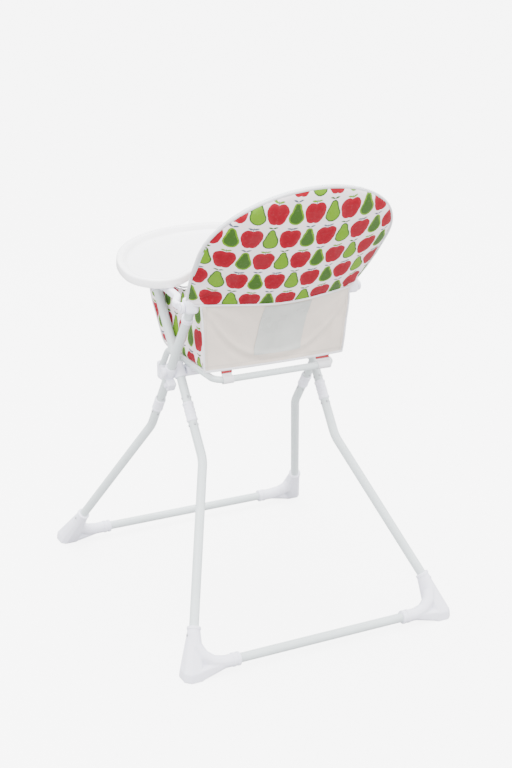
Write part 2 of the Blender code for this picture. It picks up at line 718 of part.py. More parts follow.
def make_side_panels(mat, parent):
    for label, side in SIDES:
        bm = bmesh.new()
        ends = []
        for x in (PANEL_IN_X, PANEL_OUT_X):
            ends.append([bm.verts.new(relative((side * x, y, z))) for y, z in PANEL_OUTLINE])
        bridge_rings(bm, ends)
        bm.faces.new(ends[0])
        bm.faces.new(ends[1])
        add_object("side_panel_" + label, bm, mat, parent, smooth=False)


def make_back_panel(mat, parent):
    bm = rounded_box((-PANEL_OUT_X, BACK_PANEL_Y[0], BACK_PANEL_Z[0]),
                     (PANEL_OUT_X, BACK_PANEL_Y[1], BACK_PANEL_Z[1]), 0.0)
    return add_object("back_panel", shift_to_pivot(bm), mat, parent, smooth=False)


def make_tabs(mat, parent):
    """Fabric loops that hold the cover to the rear of the seat tube."""
    inner, outer = TAB_X
    hole = SEAT_TUBE_R + 2.0 * GAP
    section = ((inner, TAB_R), (outer, TAB_R), (outer, hole), (inner, hole))
    for label, side in SIDES:
        bm = bmesh.new()
        rings = []
        for x, radius in section:
            rings.append([bm.verts.new(relative((side * x, SEAT_REAR_Y + a, SEAT_Z + b)))
                          for a, b in round_section(radius, 10)])
        bridge_rings(bm, rings + rings[:1])
        add_object("retaining_tab_" + label, bm, mat, parent)


def make_harness(web_mat, clip_mat, parent):
    """Three-point lap harness, lying on the seat pad."""
    z = PAD_TOP_Z + STRAP_LIFT
    half_w, half_t = STRAP_HALF_W, STRAP_T / 2.0
    strap = [(-half_w, -half_t), (half_w, -half_t), (half_w, half_t), (-half_w, half_t)]
    middle = (BUCKLE_Y[0] + BUCKLE_Y[1]) / 2.0
    crotch = [(0.0, PAD_FRONT_Y + CROTCH_SETBACK, z), (0.0, BUCKLE_Y[0] - 2.0 * GAP, z)]
    bm = sweep_solid(crotch, strap, X_AXIS)
    add_object("crotch_strap", shift_to_pivot(bm), web_mat, parent, smooth=False)
    for label, side in SIDES:
        corners = [(side * (BUCKLE_HALF_W + LAP_START), middle, z), (side * LAP_TURN_X, middle, z),
                   (side * LAP_CORNER[0], LAP_CORNER[1], z), (side * LAP_END[0], LAP_END[1], z)]
        flat = sweep_solid(rounded_path(corners, LAP_BEND_R), strap, Y_AXIS)
        add_object("lap_strap_" + label, shift_to_pivot(flat), web_mat, parent, smooth=False)
    low = (-BUCKLE_HALF_W, BUCKLE_Y[0], PAD_TOP_Z + BUCKLE_Z[0])
    high = (BUCKLE_HALF_W, BUCKLE_Y[1], PAD_TOP_Z + BUCKLE_Z[1])
    body = shift_to_pivot(rounded_box(low, high, 0.004, 2))
    buckle = add_object("buckle", body, clip_mat, parent)
    low = (-BUTTON_HALF_W - BUTTON_GAP, BUTTON_Y[0] - BUTTON_GAP, PAD_TOP_Z + BUTTON_Z[0] - BUCKLE_WELL_DROP)
    high = (BUTTON_HALF_W + BUTTON_GAP, BUTTON_Y[1] + BUTTON_GAP, PAD_TOP_Z + BUCKLE_Z[1] + CLEAR)
    well = shift_to_pivot(rounded_box(low, high, 0.0))
    boolean(buckle, add_object("buckle_well_guide", well, clip_mat, parent), 'DIFFERENCE')


def make_buckle_button(mat, parent):
    bm = rounded_box((-BUTTON_HALF_W, BUTTON_Y[0], PAD_TOP_Z + BUTTON_Z[0]),
                     (BUTTON_HALF_W, BUTTON_Y[1], PAD_TOP_Z + BUTTON_Z[1]), 0.0012, 1)
    return add_object("buckle_button", shift_to_pivot(bm), mat, parent)


# ---- arms and tray ------------------------------------------------------
def make_arms(mat, parent):
    """Tray arms, each with a flat eye outside its knuckle and a step inwards."""
    section = soft_rect_section(ARM_HALF_W, ARM_HALF_H, ARM_ROUND, 2)
    eye_in, eye_out = ARM_EYE_SPAN
    reach = ARM_EYE_R + CLEAR
    for label, side in SIDES:
        corners = [(side * ARM_EYE_X, ARM_START, 0.0), (side * ARM_EYE_X, ARM_JOG[0], 0.0),
                   (side * ARM_X, ARM_JOG[1], 0.0), (side * ARM_X, -ARM_LENGTH, 0.0)]
        bm = sweep_solid(rounded_path(corners, ARM_BEND_R, steps=3), section, X_AXIS)
        arm = add_object("tray_arm_" + label, bm, mat, parent)
        eye = x_cylinder(eye_in, eye_out, ARM_EYE_R, sides=18)
        inner_face = rounded_box((eye_in - ARM_RELIEF_W, ARM_RELIEF_IN, -reach), (eye_in, reach, reach), 0.0)
        outer_face = rounded_box((eye_out, ARM_RELIEF_OUT, -reach), (eye_out + CLEAR, reach, reach), 0.0)
        hole = x_cylinder(eye_in - CLEAR, eye_out + CLEAR, ARM_PIN_R + GAP, sides=12)
        cuts = (("eye", eye, 'UNION'), ("inner", inner_face, 'DIFFERENCE'),
                ("outer", outer_face, 'DIFFERENCE'), ("hole", hole, 'DIFFERENCE'))
        for cut, shape, operation in cuts:
            guide = add_object("arm_" + cut + "_guide_" + label, mirror_x(shape, side), mat, parent)
            boolean(arm, guide, operation)


def make_arm_bar(mat, parent):
    """Cross bar that ties the two arms together under the tray."""
    reach = ARM_X + ARM_HALF_W
    drop = -ARM_HALF_H - ARM_BAR_R - GAP
    along = ARM_BAR_SETBACK - ARM_LENGTH
    bm = sweep_pipe([(-reach, along, drop), (reach, along, drop)], ARM_BAR_R, TUBE_WALL, Y_AXIS, sides=10)
    return add_object("arm_cross_bar", bm, mat, parent)


def tray_outline(inset):
    """Closed plan of the tray, moved inwards; x and distance along the arms."""
    points = []
    front_steps, tip_steps, belly_steps = 22, 5, 10
    for i in range(front_steps + 1):
        angle = math.pi * i / front_steps
        c, s = math.cos(angle), math.sin(angle)
        points.append((TRAY_HALF_W * math.copysign(abs(c) ** TRAY_SQUARENESS, c),
                       TRAY_MID - TRAY_FRONT_LEN * max(s, 0.0) ** TRAY_SQUARENESS))
    rear = []
    for i in range(1, tip_steps + 1):
        angle = math.pi / 2.0 * i / tip_steps
        rear.append((TRAY_TIP_X + (TRAY_HALF_W - TRAY_TIP_X) * math.cos(angle),
                     TRAY_MID + (TRAY_TIP - TRAY_MID) * math.sin(angle)))
    for i in range(1, belly_steps):
        x = TRAY_TIP_X * (1.0 - i / belly_steps)
        wave = (0.5 - 0.5 * math.cos(math.pi * x / TRAY_TIP_X)) ** TRAY_BELLY_SHAPE
        rear.append((x, TRAY_TIP - TRAY_BELLY_DEPTH * (1.0 - wave)))
    left = [(-x, y) for x, y in rear]
    points += left + [(0.0, TRAY_TIP - TRAY_BELLY_DEPTH)] + rear[::-1]
    return inset_outline(points, inset)


def inset_outline(points, inset):
    if inset == 0.0:
        return points
    moved = []
    count = len(points)
    for i in range(count):
        before = Vector(points[i - 1])
        after = Vector(points[(i + 1) % count])
        along = (after - before).normalized()
        moved.append((points[i][0] + along.y * inset, points[i][1] - along.x * inset))
    return moved


def make_tray(mat, parent):
    """One moulded shell: skirt, raised rim, bowl wall and floor."""
    profile = ((0.0, TRAY_SKIRT_UP), (0.0005, TRAY_RIM_UP - 0.004), (0.0035, TRAY_RIM_UP),
               (TRAY_RIM_W, TRAY_RIM_UP - 0.0005), (TRAY_BOWL_INSET - 0.008, TRAY_FLOOR_UP + 0.005),
               (TRAY_BOWL_INSET, TRAY_FLOOR_UP))
    bm = bmesh.new()
    rings = [[bm.verts.new((x, y, up)) for x, y in tray_outline(inset)] for inset, up in profile]
    bridge_rings(bm, rings)
    bm.faces.new(rings[-1])
    tray = add_object("tray", bm, mat, parent)
    shell = tray.modifiers.new("shell", 'SOLIDIFY')
    shell.thickness = TRAY_WALL
    shell.offset = -1.0
    shell.use_even_offset = False
    return tray


def extrude_along_arm(profile, span, side):
    """A solid with a constant section, running along an arm."""
    bm = bmesh.new()
    ends = [[bm.verts.new((side * x, y, z)) for x, z in profile] for y in span]
    bridge_rings(bm, ends)
    bm.faces.new(ends[0])
    bm.faces.new(ends[1])
    return bm


def make_rails(mat, parent):
    """Channels under the tray that run on the arms."""
    inner_x = ARM_X - ARM_HALF_W - RAIL_GAP
    outer_x = ARM_X + ARM_HALF_W + RAIL_GAP
    roof_low = ARM_HALF_H + GAP
    roof_high = TRAY_FLOOR_UP - TRAY_WALL - GAP
    profile = ((inner_x - RAIL_WALL, -RAIL_DROP), (inner_x, -RAIL_DROP), (inner_x, roof_low),
               (outer_x, roof_low), (outer_x, -RAIL_DROP), (outer_x + RAIL_WALL, -RAIL_DROP),
               (outer_x + RAIL_WALL, roof_high), (inner_x - RAIL_WALL, roof_high))
    for label, side in SIDES:
        bm = extrude_along_arm(profile, (RAIL_START, RAIL_END), side)
        add_object("tray_rail_" + label, bm, mat, parent, smooth=False)


def make_releases(mat, parent):
    """Catches that hook under the arms and are pulled outwards to free the tray."""
    face = ARM_X + ARM_HALF_W + RAIL_GAP + RAIL_WALL + GAP
    under = -ARM_HALF_H - GAP
    bottom = under - CATCH_T
    profile = ((face - CATCH_HOOK, bottom), (face + CATCH_GRIP, bottom), (face + CATCH_GRIP, under),
               (face + CATCH_T, under), (face + CATCH_T, CATCH_TOP), (face, CATCH_TOP),
               (face, under), (face - CATCH_HOOK, under))
    for label, side in SIDES:
        bm = extrude_along_arm(profile, CATCH_SPAN, side)
        add_object("tray_release_" + label, bm, mat, parent, smooth=False)


def make_saddles(mat, rear_frame):
    """Caps on the front uprights that carry the arms when the chair is open."""
    x = REAR_TOP_X
    for label, side in SIDES:
        path = [(side * x, 0.0, FRONT_UPRIGHT_TOP - SADDLE_SOCKET),
                (side * x, 0.0, FRONT_UPRIGHT_TOP + SADDLE_CAP)]
        body = sweep_solid(path, round_section(SLEEVE_R), Y_AXIS)
        cap = add_object("arm_saddle_" + label, body, mat, rear_frame)
        lug = mirror_x(rounded_box(SADDLE_LUG_LOW, SADDLE_LUG_HIGH, 0.002, 1), side)
        boolean(cap, add_object("saddle_lug_guide_" + label, lug, mat), 'UNION')
        path = [(side * x, 0.0, FRONT_UPRIGHT_TOP - SOCKET_REACH), (side * x, 0.0, FRONT_UPRIGHT_TOP + GAP)]
        bore = sweep_solid(path, round_section(TUBE_R + GAP), Y_AXIS)
        boolean(cap, add_object("saddle_bore_guide_" + label, bore, mat, rear_frame), 'DIFFERENCE')


# ---- assembly -----------------------------------------------------------
def make_bolt_guide(mat):
    bm = bmesh.new()
    for _, side in SIDES:
        disc(bm, side * (BOLT_IN_X - CLEAR), side * (BOLT_OUT_X + CLEAR), BOLT_HOLE_R, PIVOT_Y, PIVOT_Z,
             sides=12)
    return add_object("bolt_hole_guide", bm, mat)


def build_front_frame(mats, bolt_guide):
    tilt, length = frame_tilt(FRONT_BAR_Y, FRONT_BAR_Z)
    frame = make_empty("front_frame", (0.0, PIVOT_Y, PIVOT_Z), tilt)
    mid = sum(FRONT_SLEEVE) / 2.0
    tube_args = (FRONT_TOP_X, FRONT_BAR_X, length)
    make_u_tube("front_u_tube", mats["powder"], frame, *tube_args, mid - SLEEVE_JOINT_GAP)
    half = u_path(*tube_args, mid)[:HALF_PATH]
    for label, side in SIDES:
        make_foot("front_foot_" + label, mats["plastic"], frame, side, -1.0, half,
                  tilt, *tube_args, FRONT_FOOT_X)
        make_sleeve("front_sleeve_" + label, mats["plastic"], frame, side, FRONT_TOP_X, FRONT_SLEEVE)
        make_upright("back_upright_" + label, mats["powder"], frame, side, FRONT_TOP_X,
                     mid + SLEEVE_JOINT_GAP, BACK_UPRIGHT_TOP, bolt_guide)
    make_lock(mats["plastic"], mats["button"], frame)
    return frame


def build_rear_frame(mats, bolt_guide):
    tilt, length = frame_tilt(REAR_BAR_Y, REAR_BAR_Z)
    frame = make_empty("rear_frame", (0.0, PIVOT_Y, PIVOT_Z), tilt)
    mid = sum(REAR_SLEEVE) / 2.0
    tube_args = (REAR_TOP_X, REAR_BAR_X, length)
    make_u_tube("rear_u_tube", mats["powder"], frame, *tube_args, mid - SLEEVE_JOINT_GAP)
    half = u_path(*tube_args, mid)[:HALF_PATH]
    for label, side in SIDES:
        make_foot("rear_foot_" + label, mats["plastic"], frame, side, 1.0, half,
                  tilt, *tube_args, REAR_FOOT_X)
        make_sleeve("rear_sleeve_" + label, mats["plastic"], frame, side, REAR_TOP_X, REAR_SLEEVE)
        make_upright("front_upright_" + label, mats["powder"], frame, side, REAR_TOP_X,
                     mid + SLEEVE_JOINT_GAP, FRONT_UPRIGHT_TOP, bolt_guide)
    make_saddles(mats["plastic"], frame)
    return frame


def build_backrest(mats, front_frame):
    hoop_frame = make_empty("hoop_frame", (0.0, HOOP_BASE_Y, HOOP_BASE_Z), -HOOP_RECLINE)
    make_hoop(mats["powder"], hoop_frame)
    make_back_pad(mats["print"], hoop_frame)
    make_knuckles(mats["plastic"], front_frame, hoop_frame)
    make_arm_pins(mats["steel"])


def build_seat(mats):
    seat = make_empty("seat_axis", (0.0, PIVOT_Y, PIVOT_Z))
    make_seat_loop(mats["powder"], seat)
    make_seat_brackets(mats["plastic"], seat)
    make_footrest(mats["plastic"], seat)
    make_seat_pad(mats["print"], seat)
    make_side_panels(mats["print"], seat)
    make_back_panel(mats["lining"], seat)
    make_tabs(mats["lining"], seat)
    make_harness(mats["webbing"], mats["plastic"], seat)
    make_buckle_button(mats["button"], seat)


def build_tray(mats):
    arms = make_empty("arm_axis", (0.0, ARM_AXIS_Y, ARM_AXIS_Z), -ARM_RISE)
    make_arms(mats["plastic"], arms)
    make_arm_bar(mats["powder"], arms)
    make_tray(mats["tray"], arms)
    make_rails(mats["plastic"], arms)
    make_releases(mats["button"], arms)


def build():
    clear_scene()
    mats = {
        "powder": make_material("powder_white", POWDER_WHITE, 0.38, 0.15),
        "plastic": make_material("plastic_white", PLASTIC_WHITE, 0.42),
        "tray": make_material("tray_white", TRAY_WHITE, 0.22),
        "button": make_material("button_white", PLASTIC_WHITE, 0.35),
        "steel": make_material("steel", STEEL, 0.35, 1.0),
        "print": make_material("printed_cover", PRINT_RED, 0.75),
        "lining": make_material("lining", LINING, 0.85),
        "webbing": make_material("webbing", WEBBING, 0.80),
    }
    bolt_guide = make_bolt_guide(mats["steel"])
    front_frame = build_front_frame(mats, bolt_guide)
    build_rear_frame(mats, bolt_guide)
    make_hub_caps(mats["plastic"])
    make_bolts(mats["steel"])
    make_washers(mats["steel"])
    build_backrest(mats, front_frame)
    build_seat(mats)
    build_tray(mats)


build()
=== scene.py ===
"""Folding baby high chair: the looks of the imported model, with its camera, light and floor.

Metres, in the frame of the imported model: +Z up, +X to a seated child's left, -Y to the front.
"""
import json
import math

import bmesh
import bpy
from mathutils import Matrix, Vector, noise

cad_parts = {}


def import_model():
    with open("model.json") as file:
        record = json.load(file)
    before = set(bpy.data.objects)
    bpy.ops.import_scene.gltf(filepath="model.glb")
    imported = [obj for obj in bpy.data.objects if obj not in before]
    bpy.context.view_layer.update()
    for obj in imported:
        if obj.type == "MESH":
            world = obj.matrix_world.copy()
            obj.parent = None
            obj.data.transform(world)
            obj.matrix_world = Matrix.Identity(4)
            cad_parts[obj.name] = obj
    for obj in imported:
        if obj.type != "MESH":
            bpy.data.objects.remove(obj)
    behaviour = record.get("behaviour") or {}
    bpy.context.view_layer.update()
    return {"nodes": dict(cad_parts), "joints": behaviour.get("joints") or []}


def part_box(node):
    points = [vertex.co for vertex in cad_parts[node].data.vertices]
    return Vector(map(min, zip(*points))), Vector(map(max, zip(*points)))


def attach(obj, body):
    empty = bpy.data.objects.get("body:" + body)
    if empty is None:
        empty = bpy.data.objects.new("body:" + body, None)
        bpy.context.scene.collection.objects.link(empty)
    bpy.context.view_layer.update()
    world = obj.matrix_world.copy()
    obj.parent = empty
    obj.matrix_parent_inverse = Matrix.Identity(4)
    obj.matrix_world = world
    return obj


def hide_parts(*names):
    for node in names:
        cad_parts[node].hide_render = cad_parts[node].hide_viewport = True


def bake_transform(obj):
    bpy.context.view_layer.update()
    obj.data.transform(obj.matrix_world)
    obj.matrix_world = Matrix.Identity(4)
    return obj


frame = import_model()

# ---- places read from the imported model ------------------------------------
JOINTS = {joint["name"]: joint for joint in frame["joints"]}
PIVOT = Vector(JOINTS["fold"]["pos_m"])
ARM_AXIS = Vector(JOINTS["arm_fold"]["pos_m"])
ARM_RISE = math.asin(JOINTS["tray_slide"]["axis"][2])
SIDES = (("left", 1.0), ("right", -1.0))
X_AXIS = Vector((1.0, 0.0, 0.0))
Y_AXIS = Vector((0.0, 1.0, 0.0))
Z_AXIS = Vector((0.0, 0.0, 1.0))

# ---- driving dimensions, as the CAD has them ------------------------------
TUBE_R = 0.011
CORNER_R = 0.058
BEND_R = 0.100
BEND_UP = 0.463
SEAT_TUBE_R = 0.008
HOOP_RECLINE = math.radians(39.5)
HOOP_BASE = Vector((0.0, 0.141, 0.783))
COVER_HALF_W = 0.2345         # outline of the cover, outside the hoop
COVER_STRAIGHT = 0.185
COVER_CROWN = 0.1955
COVER_FOOT = ((0.2145, 0.000), (0.2190, 0.030), (0.2265, 0.070), (0.2325, 0.120))
COVER_BULGE = 0.046
COVER_EDGE = 0.0095
BINDING_R = 0.0037
HEM_RISE = 0.047              # how much higher the rear hem is in the middle


class Frame:
    """One U frame: where its floor bar lies and how far it leans."""

    def __init__(self, tube_node, top_x, bar_x, bar_at_front):
        low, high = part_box(tube_node)
        self.top_x = top_x
        self.bar_x = bar_x
        bar_y = low.y + TUBE_R if bar_at_front else high.y - TUBE_R
        bar_z = low.z + TUBE_R
        run = bar_y - PIVOT.y
        drop = PIVOT.z - bar_z
        self.length = math.hypot(run, drop)
        self.place = Matrix.Translation(PIVOT) @ Matrix.Rotation(math.atan2(run, drop), 4, 'X')

    def at(self, x, up, forward=0.0):
        """A point in the row frame, from one in the frame's own plane."""
        return self.place @ Vector((x, forward, up))

    def direction(self):
        return (self.place.to_3x3() @ Z_AXIS).normalized()


FRONT = Frame("front_u_tube", 0.201, 0.343, True)
REAR = Frame("rear_u_tube", 0.177, 0.331, False)
ARM_PLACE = Matrix.Translation(ARM_AXIS) @ Matrix.Rotation(-ARM_RISE, 4, 'X')
HOOP_PLACE = Matrix.Translation(HOOP_BASE) @ Matrix.Rotation(-HOOP_RECLINE, 4, 'X')
HOOP_BACK = HOOP_PLACE.inverted()


# ---- materials: base colours are scene-linear ------------------------------
class Nodes:
    """A short way to write one material's node tree."""

    def __init__(self, name):
        self.mat = bpy.data.materials.new(name)
        self.mat.use_nodes = True
        self.tree = self.mat.node_tree
        self.shader = self.tree.nodes["Principled BSDF"]
        self.column = 0

    def node(self, kind, **settings):
        made = self.tree.nodes.new(kind)
        made.location = (-220.0 - 180.0 * (self.column // 6), -160.0 * (self.column % 6))
        self.column += 1
        for key, value in settings.items():
            setattr(made, key, value)
        return made

    def plug(self, socket, value):
        if isinstance(value, bpy.types.NodeSocket):
            self.tree.links.new(value, socket)
        elif isinstance(value, tuple) and len(value) == 3 and socket.type == 'RGBA':
            socket.default_value = (*value, 1.0)
        else:
            socket.default_value = value

    def math(self, operation, *values):
        made = self.node("ShaderNodeMath", operation=operation)
        for socket, value in zip(made.inputs, values):
            self.plug(socket, value)
        return made.outputs[0]

    def minus(self, a, b):
        return self.math('SUBTRACT', a, b)

    def times(self, a, b):
        return self.math('MULTIPLY', a, b)

    def vector(self, operation, *values):
        made = self.node("ShaderNodeVectorMath", operation=operation)
        for socket, value in zip(made.inputs, values):
            self.plug(socket, value)
        return made.outputs[0]

    def mix(self, share, below, above):
        made = self.node("ShaderNodeMix", data_type='RGBA')
        self.plug(made.inputs["Factor"], share)
        self.plug(made.inputs["A"], below)
        self.plug(made.inputs["B"], above)
        return made.outputs["Result"]

    def noise(self, where, scale, detail=3.0, roughness=0.55):
        made = self.node("ShaderNodeTexNoise")
        self.plug(made.inputs["Vector"], where)
        made.inputs["Scale"].default_value = scale
        made.inputs["Detail"].default_value = detail
        made.inputs["Roughness"].default_value = roughness
        return made.outputs["Fac"]

    def span(self, value, low, high, to_low=0.0, to_high=1.0):
        made = self.node("ShaderNodeMapRange", interpolation_type='SMOOTHSTEP')
        for name, number in (("Value", value), ("From Min", low), ("From Max", high),
                             ("To Min", to_low), ("To Max", to_high)):
            self.plug(made.inputs[name], number)
        return made.outputs["Result"]

    def distance(self, across, up):
        """Length of a plane vector."""
        square = self.math('MULTIPLY', across, across)
        return self.math('SQRT', self.math('MULTIPLY_ADD', up, up, square))

    def place(self):
        return self.node("ShaderNodeTexCoord").outputs["Object"]

    def parts(self, vector):
        """The x, y and z of a vector."""
        made = self.node("ShaderNodeSeparateXYZ")
        self.plug(made.inputs[0], vector)
        return made.outputs

    def bump(self, height, strength, distance, below=None):
        made = self.node("ShaderNodeBump")
        made.inputs["Strength"].default_value = strength
        made.inputs["Distance"].default_value = distance
        self.plug(made.inputs["Height"], height)
        if below is not None:
            self.plug(made.inputs["Normal"], below)
        return made.outputs["Normal"]

    def finish(self, colour, roughness, normal=None, **constants):
        self.plug(self.shader.inputs["Base Color"], colour)
        self.plug(self.shader.inputs["Roughness"], roughness)
        if normal is not None:
            self.plug(self.shader.inputs["Normal"], normal)
        for name, value in constants.items():
            self.plug(self.shader.inputs[name.replace("_", " ")], value)
        return self.mat


def shade(colour, share):
    return tuple(share * c for c in colour)


def coated_metal(name, colour, rough, scuff=0.05):
    """Powder coat: fine orange peel, faint clouding and a few duller scuffs."""
    n = Nodes(name)
    where = n.place()
    cloud = n.noise(where, 9.0, 4.0)
    peel = n.noise(where, 900.0, 2.0)
    marks = n.span(n.noise(n.vector('MULTIPLY', where, (1.0, 1.0, 0.25)), 140.0, 5.0), 0.64, 0.74)
    dark = shade(colour, 0.93)
    tone = n.mix(n.span(cloud, 0.35, 0.70), dark, colour)
    tone = n.mix(n.times(marks, scuff), tone, shade(colour, 0.72))
    roughness = n.math('MULTIPLY_ADD', marks, 0.12, n.span(cloud, 0.3, 0.7, rough, rough + 0.06))
    return n.finish(tone, roughness, n.bump(peel, 0.16, 0.0004), Coat_Weight=0.18, Coat_Roughness=0.25)


def moulded_plastic(name, colour, rough, grain=520.0, depth=0.0003):
    """Moulded plastic: fine spark-eroded grain and very faint flow clouding."""
    n = Nodes(name)
    where = n.place()
    cloud = n.noise(where, 14.0, 3.0)
    fine = n.noise(where, grain, 3.0)
    scratch = n.span(n.noise(n.vector('MULTIPLY', where, (1.0, 6.0, 1.0)), 75.0, 6.0), 0.66, 0.72)
    tone = n.mix(n.span(cloud, 0.3, 0.7), shade(colour, 0.955), colour)
    dull = n.span(fine, 0.35, 0.65, rough - 0.03, rough + 0.04)
    roughness = n.math('MULTIPLY_ADD', scratch, 0.10, dull)
    return n.finish(tone, roughness, n.bump(fine, 0.22, depth), IOR=1.49,
                    Subsurface_Weight=0.06, Subsurface_Radius=(0.010, 0.008, 0.008))


def gloss_plastic(name, colour):
    """Polished tray plastic with faint swirls from wiping."""
    n = Nodes(name)
    where = n.place()
    cloud = n.noise(where, 6.0, 3.0)
    swirl = n.span(n.noise(n.vector('MULTIPLY', where, (1.0, 5.0, 1.0)), 60.0, 7.0), 0.60, 0.75)
    tone = n.mix(n.span(cloud, 0.3, 0.7), shade(colour, 0.965), colour)
    roughness = n.math('MULTIPLY_ADD', swirl, 0.08, n.span(cloud, 0.3, 0.7, 0.17, 0.22))
    return n.finish(tone, roughness, n.bump(cloud, 0.05, 0.0010), IOR=1.5,
                    Coat_Weight=0.4, Coat_Roughness=0.08)


def plated_steel(name):
    n = Nodes(name)
    where = n.place()
    brushed = n.noise(n.vector('MULTIPLY', where, (1.0, 12.0, 12.0)), 160.0, 4.0)
    tone = n.mix(n.span(brushed, 0.3, 0.7), (0.30, 0.31, 0.33), (0.56, 0.57, 0.60))
    return n.finish(tone, n.span(brushed, 0.3, 0.7, 0.26, 0.44), n.bump(brushed, 0.2, 0.0002), Metallic=1.0)


def dull_rubber(name, colour):
    n = Nodes(name)
    where = n.place()
    speck = n.noise(where, 380.0, 4.0)
    tone = n.mix(n.span(speck, 0.35, 0.65), shade(colour, 0.75), colour)
    return n.finish(tone, n.span(speck, 0.3, 0.7, 0.68, 0.85), n.bump(speck, 0.4, 0.0004))


def weave_height(n, across, up, pitch):
    """Over and under threads; across and up are in metres."""
    turn = 2.0 * math.pi / pitch
    wave_a = n.math('SINE', n.times(across, turn))
    wave_b = n.math('SINE', n.times(up, turn))
    return n.math('MULTIPLY_ADD', n.times(wave_a, wave_b), 0.5, 0.5)


def plain_cloth(name, colour, pitch=0.0009, rough=0.82, sheen=0.25, slub=0.05):
    """Woven lining cloth with thread slubs and soft soiling."""
    n = Nodes(name)
    where = n.place()
    x, y, z = n.parts(where)
    weave = weave_height(n, n.math('ADD', x, y), z, pitch)
    slubs = n.noise(n.vector('MULTIPLY', where, (1.0, 1.0, 14.0)), 130.0, 3.0)
    cloud = n.noise(where, 11.0, 4.0)
    tone = n.mix(n.span(cloud, 0.3, 0.7), shade(colour, 0.93), colour)
    tone = n.mix(n.times(n.span(slubs, 0.5, 0.8), slub * 4.0), tone,
                 shade(colour, 0.86))
    normal = n.bump(weave, 0.35, 0.0003, n.bump(slubs, 0.25, 0.0005))
    return n.finish(tone, rough, normal, Sheen_Weight=sheen, Sheen_Roughness=0.5)


RIB_PITCH = 0.0022
HERRINGBONE_PITCH = 0.0016


def webbing_cloth(name, colour):
    """Ribbed webbing with a herringbone of coarse threads, and painted shade where the threads lie low."""
    n = Nodes(name)
    x, y, _ = n.parts(n.place())
    rib = n.math('SINE', n.times(x, 2.0 * math.pi / RIB_PITCH))
    slanted = n.math('ADD', n.math('ABSOLUTE', x), y)
    slant = n.math('SINE', n.times(slanted, 2.0 * math.pi / HERRINGBONE_PITCH))
    height = n.math('MULTIPLY_ADD', n.math('ADD', rib, slant), 0.25, 0.5)
    # painted shade: the colour is darker where the ribs and the herringbone lie low
    tone = n.mix(n.span(height, 0.2, 0.8), shade(colour, 0.80), colour)
    return n.finish(tone, 0.78, n.bump(height, 0.6, 0.0006), Sheen_Weight=0.2)


# The fruit print, in millimetres: a chequer of apples and pears.
COLUMN = 43.5
ROW = 66.6
COLUMN_AT = 10.0
ROW_AT = 61.5
APPLE_RED = (0.280, 0.0030, 0.0150)
APPLE_DEEP = (0.225, 0.0020, 0.0110)
LIME = (0.115, 0.250, 0.0060)
LEAF_GREEN = (0.036, 0.090, 0.0130)
GREY_LEAF = (0.090, 0.100, 0.140)
CLOTH_WHITE = (0.78, 0.71, 0.74)


def blob(n, x, y, lobes, blend):
    """Signed distance to a group of round lobes, each (x, y, radius), merged smoothly."""
    total = None
    for lobe_x, lobe_y, radius in lobes:
        away = n.distance(n.minus(x, lobe_x), n.minus(y, lobe_y))
        away = n.minus(away, radius)
        total = away if total is None else n.math('SMOOTH_MIN', total, away, blend)
    return total


def leaf_pair(n, spread_x, y, base, slant, long, thin):
    """Two leaves that lean outwards; spread_x is the distance from the middle line."""
    c, s = math.cos(slant), math.sin(slant)
    dx = n.minus(spread_x, long * 0.92)
    dy = n.minus(y, base)
    along = n.math('MULTIPLY_ADD', dx, c / long, n.times(dy, s / long))
    across = n.math('MULTIPLY_ADD', dy, c / thin, n.times(dx, -s / thin))
    return n.times(n.minus(n.distance(along, across), 1.0), thin)


def inked(n, away, edge=0.45):
    """1 inside a printed shape, 0 outside, with a soft edge."""
    return n.span(n.times(away, -1.0), -edge, edge)


